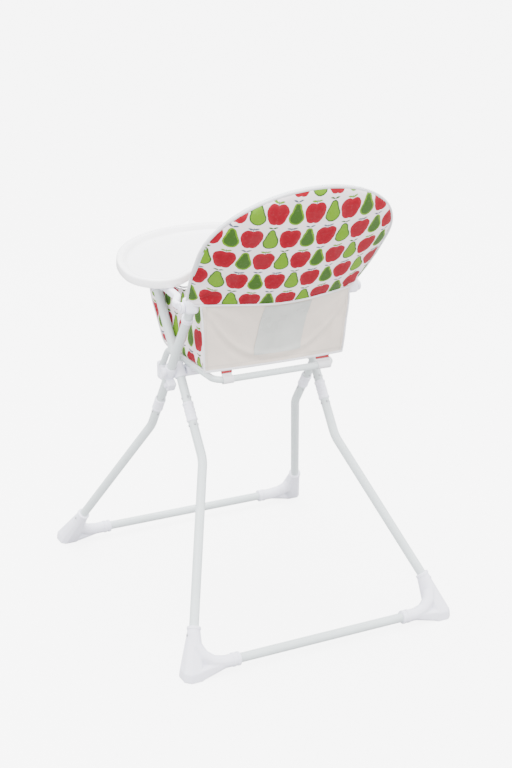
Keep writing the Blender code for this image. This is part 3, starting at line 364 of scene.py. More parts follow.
def fruit_colour(n, across_mm, up_mm):
    """Colour of the print at a place on the cloth."""
    row = n.math('ROUND', n.math('DIVIDE', n.minus(up_mm, ROW_AT), ROW))
    y = n.minus(up_mm, n.math('MULTIPLY_ADD', row, ROW, ROW_AT))
    odd_row = n.math('FLOORED_MODULO', row, 2.0)
    shifted = n.minus(across_mm, COLUMN_AT)
    apple_x = n.math('WRAP', n.math('MULTIPLY_ADD', odd_row, -COLUMN, shifted), COLUMN, -COLUMN)
    even_row = n.minus(1.0, odd_row)
    pear_x = n.math('WRAP', n.math('MULTIPLY_ADD', even_row, -COLUMN, shifted), COLUMN, -COLUMN)
    column = n.math('ROUND', n.math('DIVIDE', n.minus(shifted, pear_x), COLUMN))
    turn = n.math('FLOORED_MODULO', n.minus(column, row), 4.0)
    lime_pear = n.math('GREATER_THAN', turn, 2.0)

    side = n.math('ABSOLUTE', n.minus(apple_x, n.times(y, 0.06)))
    squat = n.times(y, 0.84)
    apple = blob(n, side, squat, ((9.0, 4.5, 16.2), (5.5, -8.5, 14.6)), 10.0)
    pear_lean = n.minus(pear_x, n.times(y, 0.10))
    pear = blob(n, pear_lean, y, ((0.0, -10.5, 18.4), (0.0, 6.0, 12.0), (0.0, 18.5, 8.0)), 12.0)

    apple_side = n.math('ABSOLUTE', n.minus(apple_x, 1.5))
    pear_side = n.math('ABSOLUTE', n.minus(pear_x, 2.6))
    apple_leaf = leaf_pair(n, apple_side, y, 28.0, 0.24, 6.4, 2.3)
    pear_leaf = leaf_pair(n, pear_side, y, 31.0, 0.34, 6.0, 2.1)
    stem = n.math('MAXIMUM', n.minus(apple_side, 0.9),
                  n.minus(n.math('ABSOLUTE', n.minus(y, 26.0)), 4.5))

    tone = CLOTH_WHITE
    tone = n.mix(inked(n, stem), tone, GREY_LEAF)
    tone = n.mix(inked(n, apple_leaf), tone, n.mix(odd_row, LIME, GREY_LEAF))
    tone = n.mix(inked(n, pear_leaf), tone, n.mix(lime_pear, GREY_LEAF, LEAF_GREEN))
    tone = n.mix(inked(n, pear), tone, n.mix(lime_pear, LIME, LEAF_GREEN))
    rim = n.math('MULTIPLY_ADD', lime_pear, -0.8, 3.6)
    inner_pear = n.math('ADD', pear, rim)
    tone = n.mix(inked(n, inner_pear, 0.8), tone, n.mix(lime_pear, LEAF_GREEN, LIME))
    red = n.mix(inked(n, n.math('ADD', apple, 6.0), 5.0), APPLE_RED, APPLE_DEEP)
    return n.mix(inked(n, apple), tone, red)


PRINT_WAVER = 0.0042          # how far the ink strays from its drawn line
COTTON_PITCH = 0.0008


def printed_cloth(name):
    """Coated cotton with the fruit print; places on the cloth come from its own map."""
    n = Nodes(name)
    cloth = n.node("ShaderNodeAttribute", attribute_name="cloth_place").outputs["Vector"]
    waver = n.node("ShaderNodeTexNoise")
    n.plug(waver.inputs["Vector"], cloth)
    waver.inputs["Scale"].default_value = 70.0
    waver.inputs["Detail"].default_value = 2.0
    offset = n.vector('SCALE', n.vector('SUBTRACT', waver.outputs["Color"], (0.5, 0.5, 0.5)))
    offset.node.inputs["Scale"].default_value = PRINT_WAVER
    across, up, _ = n.parts(n.vector('ADD', cloth, offset))
    fruit = fruit_colour(n, n.times(across, 1000.0), n.times(up, 1000.0))
    ink = n.noise(cloth, 160.0, 4.0)
    tone = n.mix(n.times(n.span(ink, 0.50, 0.78), 0.03), fruit, CLOTH_WHITE)
    soft = n.noise(cloth, 12.0, 3.0)
    tone = n.mix(n.times(n.span(soft, 0.4, 0.75), 0.06), tone, (0.20, 0.18, 0.19))
    straight_x, straight_y, _ = n.parts(cloth)
    weave = weave_height(n, straight_x, straight_y, COTTON_PITCH)
    rumple = n.noise(cloth, 38.0, 3.0)
    normal = n.bump(weave, 0.25, 0.0003, n.bump(rumple, 0.10, 0.0030))
    return n.finish(tone, n.span(ink, 0.3, 0.7, 0.55, 0.68), normal, Specular_IOR_Level=0.08)


def clear_window(name):
    """A blank, milky vinyl panel sewn to the cloth."""
    n = Nodes(name)
    where = n.place()
    cloud = n.noise(where, 16.0, 4.0)
    ripple = n.noise(n.vector('MULTIPLY', where, (1.0, 1.0, 0.3)), 60.0, 3.0)
    tone = n.mix(n.span(cloud, 0.3, 0.7), (0.41, 0.42, 0.400), (0.47, 0.48, 0.455))
    return n.finish(tone, n.span(cloud, 0.3, 0.7, 0.26, 0.36), n.bump(ripple, 0.12, 0.0016),
                    Coat_Weight=0.25, Coat_Roughness=0.2)


def thread_material(name, colour):
    n = Nodes(name)
    twist = n.noise(n.place(), 1500.0, 2.0)
    tone = n.mix(n.span(twist, 0.3, 0.7), shade(colour, 0.7), colour)
    return n.finish(tone, 0.7, n.bump(twist, 0.4, 0.0002), Sheen_Weight=0.3)


POWDER = coated_metal("powder_coat", (0.58, 0.64, 0.65), 0.34)
PLASTIC = moulded_plastic("moulded_plastic", (0.80, 0.80, 0.90), 0.40)
BUTTON = moulded_plastic("button_plastic", (0.70, 0.70, 0.80), 0.34, 700.0, 0.0002)
TRAY_GLOSS = gloss_plastic("tray_plastic", (0.97, 0.97, 0.99))
STEEL = plated_steel("zinc_steel")
RIVET = plated_steel("rivet_steel")
RUBBER = dull_rubber("sole_rubber", (0.22, 0.22, 0.24))
PRINT = printed_cloth("fruit_print")
LINING = plain_cloth("lining_cloth", (0.64, 0.560, 0.490))
BINDING = plain_cloth("binding_tape", (0.68, 0.68, 0.71), 0.0006, 0.6, 0.05, 0.02)
RED_TAPE = plain_cloth("red_tape", (0.26, 0.004, 0.012), 0.0006, 0.6, 0.0, 0.02)
WEBBING = webbing_cloth("harness_webbing", (0.66, 0.66, 0.68))
WINDOW = clear_window("blank_window")
THREAD = thread_material("stitch_thread", (0.50, 0.48, 0.46))

# The CAD's material slot that pieces of each material belong to.
SLOTS = {POWDER: "powder_white", PLASTIC: "plastic_white", RUBBER: "plastic_white",
         BUTTON: "button_white", TRAY_GLOSS: "tray_white", RIVET: "steel", PRINT: "printed_cover",
         LINING: "lining", BINDING: "lining", RED_TAPE: "lining", WINDOW: "lining",
         THREAD: "lining", WEBBING: "webbing"}
SLOTS = {mat.name: slot for mat, slot in SLOTS.items()}


# ---- mesh helpers ----------------------------------------------------------
WELD = 1e-5                   # points closer than this are one
CENTRE_R = 1e-5               # a turned profile's radius on its axis


def add_piece(name, bm, mat, body=None, stands_for=(), smooth_angle=40.0):
    bmesh.ops.recalc_face_normals(bm, faces=bm.faces)
    mesh = bpy.data.meshes.new(name)
    bm.to_mesh(mesh)
    bm.free()
    return declare(place_mesh(name, mesh, mat, smooth_angle), body, stands_for)


def place_mesh(name, mesh, mat, smooth_angle=40.0):
    mesh.materials.clear()
    mesh.materials.append(mat)
    mesh.shade_smooth()
    mesh.set_sharp_from_angle(angle=math.radians(smooth_angle))
    obj = bpy.data.objects.new(name, mesh)
    bpy.context.scene.collection.objects.link(obj)
    return obj


def declare(obj, body, stands_for=()):
    """Says what a piece moves with and the CAD nodes it stands for."""
    if body is not None:
        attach(obj, body)
    if stands_for:
        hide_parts(*stands_for)
    return obj


def bridge(bm, rings, closed=True):
    """Rows of quads between neighbouring rings, or between the rows of a grid."""
    count = len(rings[0])
    for ring, following in zip(rings, rings[1:]):
        for i in range(count if closed else count - 1):
            j = (i + 1) % count
            bm.faces.new((ring[i], ring[j], following[j], following[i]))


def join_borders(bm, front, back):
    """Closes the gap between the borders of two grids of the same size."""
    rows, columns = len(front) - 1, len(front[0]) - 1
    border = ([(0, i) for i in range(columns)] + [(j, columns) for j in range(rows)]
              + [(rows, i) for i in range(columns, 0, -1)] + [(j, 0) for j in range(rows, 0, -1)])
    for (j0, i0), (j1, i1) in zip(border, border[1:] + border[:1]):
        bm.faces.new((front[j0][i0], front[j1][i1], back[j1][i1], back[j0][i0]))


def cap(bm, rings):
    """Closes both ends of a row of rings."""
    bm.faces.new(rings[0])
    bm.faces.new(rings[-1])


def fillet(before, corner, after, radius, steps):
    into = (corner - before).normalized()
    out = (after - corner).normalized()
    turn = into.angle(out)
    start = corner - into * (radius * math.tan(turn / 2.0))
    axis = into.cross(out).normalized()
    centre = start + axis.cross(into) * radius
    return [centre + Matrix.Rotation(turn * i / steps, 3, axis) @ (start - centre)
            for i in range(steps + 1)]


def rounded_path(corners, radii, steps=12):
    corners = [Vector(c) for c in corners]
    path = [corners[0]]
    for i, radius in enumerate(radii, start=1):
        path += fillet(corners[i - 1], corners[i], corners[i + 1], radius, steps)
    path.append(corners[-1])
    return path


def carried_frames(path, hint):
    """A side and an up vector at each point of a path, without twist."""
    frames = []
    side = Vector(hint)
    for i, point in enumerate(path):
        along = (path[min(i + 1, len(path) - 1)] - path[max(i - 1, 0)]).normalized()
        side = (side - along * side.dot(along)).normalized()
        frames.append((point, side, along.cross(side)))
    return frames


def sweep(bm, path, section, hint):
    """Sweeps a closed section, given as (side, up) pairs, along a path."""
    rings = [[bm.verts.new(p + side * a + up * b) for a, b in section]
             for p, side, up in carried_frames([Vector(p) for p in path], hint)]
    bridge(bm, rings)
    cap(bm, rings)


def circle(radius, sides):
    angles = [2.0 * math.pi * i / sides for i in range(sides)]
    return [(radius * math.cos(angle), radius * math.sin(angle)) for angle in angles]


def tube(name, path, radius, mat, body=None, stands_for=(), sides=28, hint=Y_AXIS):
    bm = bmesh.new()
    sweep(bm, path, circle(radius, sides), hint)
    return add_piece(name, bm, mat, body, stands_for)


def closed_tube(bm, path, radius, sides, hint):
    """A ring-shaped tube along a closed path."""
    count = len(path)
    rings = []
    side = Vector(hint)
    for i, point in enumerate(path):
        along = (path[(i + 1) % count] - path[i - 1]).normalized()
        side = (side - along * side.dot(along)).normalized()
        up = along.cross(side)
        rings.append([bm.verts.new(point + side * a + up * b) for a, b in circle(radius, sides)])
    bridge(bm, rings + rings[:1])


def lathe(bm, origin, axis, profile, sides):
    """Turns a profile of (distance along the axis, radius) about an axis."""
    axis = Vector(axis).normalized()
    side = axis.orthogonal().normalized()
    up = axis.cross(side)
    rings = []
    for along, radius in profile:
        centre = Vector(origin) + axis * along
        rings.append([bm.verts.new(centre + side * a + up * b)
                      for a, b in circle(max(radius, CENTRE_R), sides)])
    bridge(bm, rings)
    cap(bm, rings)


def turned(name, origin, axis, profile, mat, body, stands_for=(), sides=36):
    bm = bmesh.new()
    lathe(bm, origin, axis, profile, sides)
    return add_piece(name, bm, mat, body, stands_for, 30.0)


def evaluated_mesh(obj):
    depsgraph = bpy.context.evaluated_depsgraph_get()
    return bpy.data.meshes.new_from_object(obj.evaluated_get(depsgraph))


def add_modifier(obj, kind, **settings):
    modifier = obj.modifiers.new(kind.lower(), kind)
    for key, value in settings.items():
        setattr(modifier, key, value)
    return modifier


def apply_modifiers(obj):
    mesh = evaluated_mesh(obj)
    obj.modifiers.clear()
    obj.data = mesh


def moulded_copy(node, voxel, rounds, body):
    """A softly rounded version of a CAD node, as it would leave its mould."""
    obj = place_mesh(node + "_moulded", frame["nodes"][node].data.copy(), PLASTIC)
    add_modifier(obj, 'REMESH', mode='VOXEL', voxel_size=voxel)
    add_modifier(obj, 'SMOOTH', factor=0.5, iterations=rounds)
    apply_modifiers(obj)
    obj.data.shade_smooth()
    declare(obj, body, (node,))


def bevelled_copy(node, width, mat, body):
    """A CAD node with its edges broken by a small radius."""
    obj = place_mesh(node + "_finished", frame["nodes"][node].data.copy(), mat)
    bm = bmesh.new()
    bm.from_mesh(obj.data)
    bmesh.ops.remove_doubles(bm, verts=bm.verts, dist=WELD)
    bmesh.ops.dissolve_limit(bm, angle_limit=math.radians(1.0), verts=bm.verts, edges=bm.edges)
    bm.to_mesh(obj.data)
    bm.free()
    add_modifier(obj, 'BEVEL', width=width, segments=3, limit_method='ANGLE',
                 angle_limit=math.radians(30.0))
    apply_modifiers(obj)
    obj.data.shade_smooth()
    obj.data.set_sharp_from_angle(angle=math.radians(50.0))
    declare(obj, body, (node,))


def map_cloth(obj, place):
    """Stores where each point lies on the flat cloth, in metres, for the print."""
    mesh = obj.data
    store = mesh.attributes.new("cloth_place", 'FLOAT_VECTOR', 'POINT')
    for vertex, item in zip(mesh.vertices, store.data):
        across, up = place(vertex.co)
        item.vector = (across, up, 0.0)


RIVET_PROFILE = ((-0.0010, 0.0032), (0.0004, 0.0032), (0.0012, 0.002752), (0.0018, 0.00176),
                 (0.0015, 0.00096), (0.0010, 0.0))


def rivets(name, spots, body):
    """Domed rivet heads, each with a dimple."""
    bm = bmesh.new()
    for where, axis in spots:
        lathe(bm, where, axis, RIVET_PROFILE, 20)
    add_piece(name, bm, RIVET, body)


# ---- cloth -----------------------------------------------------------------
SWELL_FRAMES = 20
CLOTH = {"quality": 5, "mass": 0.3, "tension_stiffness": 15.0, "compression_stiffness": 15.0,
         "bending_stiffness": 0.5, "use_pressure": True}


def fill_with_air(obj, voxel, pressure, cap_move, held):
    """Voxel remesh, then a short cloth simulation that swells the piece like a filled cushion.

    held(point) is 1 where the cloth is sewn down and 0 where it is free, and no point moves
    further than cap_move.
    """
    add_modifier(obj, 'REMESH', mode='VOXEL', voxel_size=voxel)
    apply_modifiers(obj)
    rest = [v.co.copy() for v in obj.data.vertices]
    group = obj.vertex_groups.new(name="sewn")
    for i, point in enumerate(rest):
        group.add([i], held(point), 'REPLACE')
    cloth = add_modifier(obj, 'CLOTH')
    for key, value in CLOTH.items():
        setattr(cloth.settings, key, value)
    cloth.settings.uniform_pressure_force = pressure
    cloth.settings.effector_weights.gravity = 0.0
    cloth.settings.vertex_group_mass = "sewn"
    cloth.collision_settings.use_collision = False
    cloth.point_cache.frame_start = 1
    cloth.point_cache.frame_end = SWELL_FRAMES
    scene = bpy.context.scene
    for number in range(1, SWELL_FRAMES + 1):
        scene.frame_set(number)
        bpy.context.evaluated_depsgraph_get().update()
    moved = [v.co.copy() for v in evaluated_mesh(obj).vertices]
    obj.modifiers.clear()
    scene.frame_set(1)
    for vertex, start, end in zip(obj.data.vertices, rest, moved):
        step = end - start
        if step.length > cap_move:
            step *= cap_move / step.length
        vertex.co = start + step


def finish_cloth(obj, rounds, place, body, node):
    add_modifier(obj, 'SMOOTH', factor=0.5, iterations=rounds)
    apply_modifiers(obj)
    add_modifier(obj, 'SUBSURF', levels=1, render_levels=1)
    apply_modifiers(obj)
    obj.data.shade_smooth()
    map_cloth(obj, place)
    declare(obj, body, (node,))


# ---- frame -----------------------------------------------------------------
def u_path(u_frame, top):
    bend = BEND_UP - u_frame.length
    floor = -u_frame.length
    corners = [(u_frame.top_x, 0, top), (u_frame.top_x, 0, bend), (u_frame.bar_x, 0, floor),
               (-u_frame.bar_x, 0, floor), (-u_frame.top_x, 0, bend), (-u_frame.top_x, 0, top)]
    path = rounded_path(corners, (BEND_R, CORNER_R, CORNER_R, BEND_R))
    return [u_frame.place @ p for p in path]


FRONT_SLEEVE = (-0.145, -0.107)
REAR_SLEEVE = (-0.128, -0.082)
BACK_UPRIGHT_TOP = 0.222
FRONT_UPRIGHT_TOP = 0.236
SLEEVE_R = 0.0134
HALF_GAP = 0.001              # half the gap between a leg and its post, inside the sleeve


def make_frame_tubes():
    """Each U frame, and the two posts that go on above its sleeves."""
    for end, u_frame, span, post, upright, post_top in (
            ("front", FRONT, FRONT_SLEEVE, "back_post_", "back_upright_", BACK_UPRIGHT_TOP),
            ("rear", REAR, REAR_SLEEVE, "front_post_", "front_upright_", FRONT_UPRIGHT_TOP)):
        body = end + "_frame"
        middle = sum(span) / 2.0
        tube(end + "_u_frame", u_path(u_frame, middle - HALF_GAP), TUBE_R, POWDER, body,
             (end + "_u_tube",))
        for label, side in SIDES:
            x = side * u_frame.top_x
            path = [u_frame.at(x, middle + HALF_GAP), u_frame.at(x, post_top)]
            tube(post + label, path, TUBE_R, POWDER, body, (upright + label,))


def sleeve_profile(span):
    """A moulded joint sleeve: a bead at each end, a waist and two grip ribs."""
    low, high = span
    mid = (low + high) / 2.0
    bead, waist, rib = SLEEVE_R + 0.0002, SLEEVE_R - 0.0009, SLEEVE_R - 0.0002
    end = ((-0.0010, TUBE_R), (0.0, SLEEVE_R - 0.0010), (0.0008, SLEEVE_R), (0.0052, bead),
           (0.0062, waist))
    ribs = ((0.0025, waist), (0.0035, rib), (0.0050, rib), (0.0060, waist))
    return ([(low + along, r) for along, r in end] + [(mid - along, r) for along, r in ribs[::-1]]
            + [(mid + along, r) for along, r in ribs] + [(high - along, r) for along, r in end[::-1]])


def make_sleeves():
    """A turned sleeve on each tube, with rivets in the tube above and below it."""
    for name, u_frame, span, body in (("front_sleeve_", FRONT, FRONT_SLEEVE, "front_frame"),
                                      ("rear_sleeve_", REAR, REAR_SLEEVE, "rear_frame")):
        heights = (span[0] - 0.010, span[1] + 0.012)
        rearward = u_frame.place.to_3x3() @ Y_AXIS
        spots = []
        for label, side in SIDES:
            x = side * u_frame.top_x
            turned(name + label + "_turned", u_frame.at(x, 0.0), u_frame.direction(),
                   sleeve_profile(span), PLASTIC, body, (name + label,))
            spots += [(u_frame.at(x + outward * TUBE_R, height), X_AXIS * outward)
                      for outward in (1.0, -1.0) for height in heights]
            spots += [(u_frame.at(x, height, TUBE_R), rearward) for height in heights]
        rivets(name + "rivets", spots, body)


def make_feet():
    for end, u_frame, sign in (("front", FRONT, -1.0), ("rear", REAR, 1.0)):
        body = end + "_frame"
        for label, side in SIDES:
            node = end + "_foot_" + label
            moulded_copy(node, 0.0016, 5, body)
            make_sole(node, side, sign, body)
            make_foot_trim(node, u_frame, side, sign, body)


SOLE_INSET = 0.0035
SOLE_SIZE = (0.0460, 0.0490)
SOLE_CORNER = 0.011
SOLE_LEVELS = ((0.0, 0.0), (0.0022, 0.0), (0.0030, 0.0012))     # height, and how much smaller


def make_sole(node, side, sign, body):
    """Grey rubber pad let into the underside of a foot."""
    low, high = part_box(node)
    x0 = (high.x if side > 0.0 else low.x) - side * SOLE_INSET
    y0 = (high.y if sign > 0.0 else low.y) - sign * SOLE_INSET
    x1, y1 = x0 - side * SOLE_SIZE[0], y0 - sign * SOLE_SIZE[1]
    corners = [Vector(c) for c in ((x0, y0), (x1, y0), (x1, y1), (x0, y1))]
    plan = []
    for i, here in enumerate(corners):
        for other in (corners[i - 1], corners[(i + 1) % 4]):
            plan.append(here + (other - here).normalized() * SOLE_CORNER)
    bm = bmesh.new()
    middle = (corners[0] + corners[2]) / 2.0
    rings = [[bm.verts.new((*(p + (middle - p).normalized() * shrink), up)) for p in plan]
             for up, shrink in SOLE_LEVELS]
    bridge(bm, rings)
    cap(bm, rings)
    bmesh.ops.bevel(bm, geom=[e for e in bm.edges if e.verts[0].co.z != e.verts[1].co.z],
                    offset=0.003, segments=3, affect='EDGES', profile=0.5)
    add_piece(node + "_sole", bm, RUBBER, body)


def make_foot_trim(node, u_frame, side, sign, body):
    """Ribbed end rings on the leg and on the bar, and a fixing screw in the leg."""
    bend = Vector((u_frame.top_x, 0.0, BEND_UP - u_frame.length))
    corner = Vector((u_frame.bar_x, 0.0, -u_frame.length))
    along = (bend - corner).normalized()
    rise = 0.096
    ring = ((-0.0040, 0.0150), (-0.0034, 0.0160), (0.0, 0.0163), (0.0026, 0.0160), (0.0034, 0.0146),
            (0.0040, TUBE_R))
    place = u_frame.place.to_3x3()

    def world(point, direction):
        return u_frame.at(side * point.x, point.z), place @ Vector((side * direction.x, 0.0, direction.z))

    where, direction = world(corner + along * (rise - 0.003), along)
    bm = bmesh.new()
    lathe(bm, where, direction, ring, 36)
    bar_end = Vector((0.224 if sign < 0.0 else 0.213, 0.0, -u_frame.length))
    for back in (0.004, 0.016):
        where, direction = world(bar_end + Vector((back, 0.0, 0.0)), Vector((-1.0, 0.0, 0.0)))
        lathe(bm, where, direction, ring if back < 0.01 else ring[:-1] + ((0.0040, 0.0148),), 36)
    add_piece(node + "_rings", bm, PLASTIC, body)
    out = Vector((along.z, 0.0, -along.x))
    if out.x < 0.0:
        out = -out
    where, direction = world(corner + along * (rise - 0.020) + out * 0.0150, out)
    rivets(node + "_screw", [(where, direction)], body)


SEAT_FRONT_Y = -0.105
SEAT_END = (-0.148, 0.544)


def make_seat_tube():
    _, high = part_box("seat_loop")
    half, rear, level = (c - SEAT_TUBE_R for c in high)
    left = [Vector((half, *SEAT_END)), Vector((half, SEAT_FRONT_Y, level)),
            Vector((half, rear, level))]
    right = [Vector((-p.x, p.y, p.z)) for p in reversed(left)]
    path = rounded_path(left + right, (0.045, 0.030, 0.030, 0.045))
    tube("seat_tube", path, SEAT_TUBE_R, POWDER, "seat", ("seat_loop",), 24, X_AXIS)


CAP_PROFILE = ((0.0, 0.0125), (0.0050, 0.0128), (0.0064, 0.0122), (0.0076, 0.0106),
               (0.0080, 0.0090), (0.0072, 0.0084), (0.0072, 0.0062), (0.0078, 0.0056),
               (0.0080, 0.0))
LOCK_BUTTON_PROFILE = ((0.0, 0.0054), (0.0058, 0.0054), (0.0070, 0.0049), (0.0074, 0.0040),
                       (0.0070, 0.0024), (0.0068, 0.0))
CLAMP_PROFILE = ((-0.0185, TUBE_R), (-0.0180, 0.0136), (-0.0165, 0.0142), (0.0165, 0.0142),
                 (0.0180, 0.0136), (0.0185, TUBE_R))
BAND_PROFILE = ((-0.0060, TUBE_R), (-0.0056, 0.0130), (-0.0046, 0.0137), (0.0046, 0.0139),
                (0.0060, 0.0150), (0.0062, TUBE_R))
PIN_PROFILE = ((-0.0180, 0.0039), (-0.0020, 0.0039), (-0.0020, 0.0074), (-0.0008, 0.0075),
               (0.0, 0.0066), (0.0004, 0.0040), (-0.0002, 0.0034), (-0.0002, 0.0))


def repaint(node, mat):
    """Gives a CAD node that is shown as it is one of the scene's materials."""
    materials = frame["nodes"][node].data.materials
    materials.clear()
    materials.append(mat)


def make_hub():
    """On each side, the cap, the fold lock's block and button, and the clamps on both tubes."""
    for label, side in SIDES:
        low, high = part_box("hub_cap_" + label)
        inner = Vector((low.x if side > 0.0 else high.x, PIVOT.y, PIVOT.z))
        turned("hub_cap_" + label + "_turned", inner, X_AXIS * side, CAP_PROFILE, PLASTIC,
               "front_frame", ("hub_cap_" + label,), 48)
        repaint("pivot_bolt_" + label, STEEL)
        repaint("hub_washer_" + label, STEEL)
        moulded_copy("lock_housing_" + label, 0.0007, 3, "front_frame")
        button = "lock_button_" + label
        low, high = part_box(button)
        centre = (low + high) / 2.0
        inner = Vector((low.x if side > 0.0 else high.x, centre.y, centre.z))
        turned(button + "_turned", inner, X_AXIS * side, LOCK_BUTTON_PROFILE, BUTTON, button,
               (button,), 32)
        for name, u_frame, body in (("hub_clamp_", FRONT, "front_frame"),
                                    ("hub_collar_", REAR, "rear_frame")):
            turned(name + label, u_frame.at(side * u_frame.top_x, 0.0), u_frame.direction(),
                   CLAMP_PROFILE, PLASTIC, body)


def make_knuckles():
    """The arms' knuckles, with a band below each and the head of its pin."""
    for label, side in SIDES:
        moulded_copy("arm_knuckle_" + label, 0.0011, 4, "front_frame")
        band = FRONT.at(side * FRONT.top_x, BACK_UPRIGHT_TOP - 0.030)
        turned("knuckle_band_" + label, band, FRONT.direction(), BAND_PROFILE, PLASTIC,
               "front_frame")
        low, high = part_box("arm_pin_" + label)
        head = Vector((high.x if side > 0.0 else low.x, ARM_AXIS.y, ARM_AXIS.z))
        pin = turned("arm_pin_" + label + "_turned", head, X_AXIS * side, PIN_PROFILE, PLASTIC,
                     "front_frame", ("arm_pin_" + label,))


def make_small_mouldings():
    for label, _ in SIDES:
        for node, voxel, rounds, body in (("arm_saddle_", 0.0010, 3, "rear_frame"),
                                          ("seat_bracket_", 0.0007, 2, "seat"),
                                          ("footrest_bracket_", 0.0009, 4, "seat"),
                                          ("tray_arm_", 0.0013, 4, "tray_arms")):
            moulded_copy(node + label, voxel, rounds, body)
        bevelled_copy("tray_rail_" + label, 0.0005, PLASTIC, "tray_body")
        bevelled_copy("tray_release_" + label, 0.0007, BUTTON, "tray_release_" + label)
    low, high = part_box("arm_cross_bar")
    middle = (low + high) / 2.0
    ends = [Vector((x, middle.y, middle.z)) for x in (low.x, high.x)]
    tube("tray_cross_bar", ends, (high.z - low.z) / 2.0, POWDER, "tray_arms",
         ("arm_cross_bar",))


FOOTREST_RIBS = 7
FOOTREST_MARGIN = 0.018


def make_footrest():
    """Board with rounded edges and shallow grip ribs along its top."""
    low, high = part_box("footrest_board")
    bevelled_copy("footrest_board", 0.0015, PLASTIC, "seat")
    bm = bmesh.new()
    for i in range(FOOTREST_RIBS):
        y = low.y + (high.y - low.y) * (i + 1) / (FOOTREST_RIBS + 1)
        path = [(low.x + FOOTREST_MARGIN, y, high.z), (high.x - FOOTREST_MARGIN, y, high.z)]
        sweep(bm, path, circle(0.0012, 12), Y_AXIS)
    add_piece("footrest_ribs", bm, PLASTIC, "seat")


# ---- backrest --------------------------------------------------------------
def cover_half_width(height):
    if height >= COVER_STRAIGHT:
        up = min((height - COVER_STRAIGHT) / COVER_CROWN, 1.0)
        return COVER_HALF_W * math.sqrt(max(1.0 - up * up, 0.0))
    points = list(COVER_FOOT) + [(COVER_HALF_W, COVER_STRAIGHT)]
    for (x0, z0), (x1, z1) in zip(points, points[1:]):
        if height <= z1:
            return x0 + (x1 - x0) * max(height - z0, 0.0) / (z1 - z0)
    return COVER_HALF_W


def cover_rim_share(x, height):
    """0 in the middle of the cover, 1 at its outline."""
    if height <= COVER_STRAIGHT:
        return min(abs(x) / cover_half_width(height), 1.0)
    return min(math.hypot(x / COVER_HALF_W, (height - COVER_STRAIGHT) / COVER_CROWN), 1.0)


def hem_height(x):
    """Height of the rear hem, which arches between the two feet of the hoop."""
    return HEM_RISE * (1.0 - min(abs(x) / COVER_HALF_W, 1.0) ** 4.0)


def cover_bulge(x, height):
    across = min(abs(x) / COVER_HALF_W, 1.0)
    up = height / (COVER_STRAIGHT + COVER_CROWN)
    return COVER_BULGE * (1.0 - across ** 1.9) * max(1.0 - 0.9 * up * up, 0.0)


def cover_point(x, height, rear):
    """A point of the unfilled cover, in the hoop's own plane."""
    rim = cover_rim_share(x, height)
    edge = COVER_EDGE * math.sqrt(max(1.0 - rim ** 9, 0.0))
    fill = (0.005 if rear else 0.010) * (1.0 - rim ** 4)
    return Vector((x, cover_bulge(x, height) + (edge + fill if rear else -edge - fill), height))


def make_back_cover():
    """The padded cover: a front and a rear grid joined round their borders, then filled."""
    top = COVER_STRAIGHT + COVER_CROWN
    columns, rows = 44, 40
    bm = bmesh.new()
    grids = []
    for rear in (False, True):
        grid = []
        for j in range(rows + 1):
            share = math.sin(math.pi / 2.0 * j / rows)
            half = cover_half_width(top * share)
            row = []
            for i in range(columns + 1):
                x = half * math.sin(math.pi / 2.0 * (2.0 * i / columns - 1.0))
                low = hem_height(x) if rear else 0.0
                height = low * (1.0 - share) + top * share
                row.append(bm.verts.new(HOOP_PLACE @ cover_point(x, height, rear)))
            grid.append(row)
        bridge(bm, grid, closed=False)
        grids.append(grid)
    join_borders(bm, *grids)
    bmesh.ops.remove_doubles(bm, verts=bm.verts, dist=WELD)
    cover = add_piece("backrest_cover", bm, PRINT)

    def held(point):
        local = HOOP_BACK @ point
        rim = cover_rim_share(local.x, max(local.z, 0.0))
        return 1.0 if rim > 0.93 or local.z < hem_height(local.x) + 0.006 else 0.0

    fill_with_air(cover, 0.0045, 4.0, 0.006, held)
    quilt_cover(cover)
    finish_cloth(cover, 2, cover_place, "front_frame", "backrest_pad")
    make_cover_binding()


def cover_place(point):
    """Place on the cloth; near the hem the cloth is pulled a little to one side."""
    local = HOOP_BACK @ point
    pull = 0.007 * min(max(1.0 - local.z / 0.140, 0.0), 1.0)
    return local.x + pull * (1.0 + max(-local.x, 0.0) / 0.080), local.z


RIM_SEAM = 0.80                 # share of the way from the cover's middle to its outline
CHANNELS = (0.105, 0.215)       # heights of the sewn channels
FAN_FOOT = 0.010                # height that the drag creases fan out from


def quilt_cover(cover):
    """Sewn channels pressed into the padded front, and drag creases near the hem at the rear."""
    for vertex in cover.data.vertices:
        local = HOOP_BACK @ vertex.co
        rim = cover_rim_share(local.x, max(local.z, 0.0))
        if local.y < cover_bulge(local.x, max(local.z, 0.0)):
            groove = crease(rim - RIM_SEAM, 0.018, 1.0)
            if rim < 0.78:
                groove += sum(crease(local.z - level, 0.0042, 1.0) for level in CHANNELS)
            local.y += 0.0045 * min(groove, 1.0)
        elif rim < 0.95:
            low = math.exp(-max(local.z, 0.0) / 0.10)
            wave = noise.noise(Vector((local.x * 22.0, local.z * 7.0, 3.1)))
            local.y += 0.0022 * low * wave * (1.0 - rim)
            dx, dz = COVER_HALF_W - abs(local.x), local.z - FAN_FOOT
            fan = math.sin(math.atan2(dz, dx) * 13.0 + math.copysign(1.3, local.x))
            inside = min((1.0 - rim) * 8.0, 1.0)
            local.y += fan * inside * crease(math.hypot(dx, dz) - 0.055, 0.045, 0.0028)
        vertex.co = HOOP_PLACE @ local


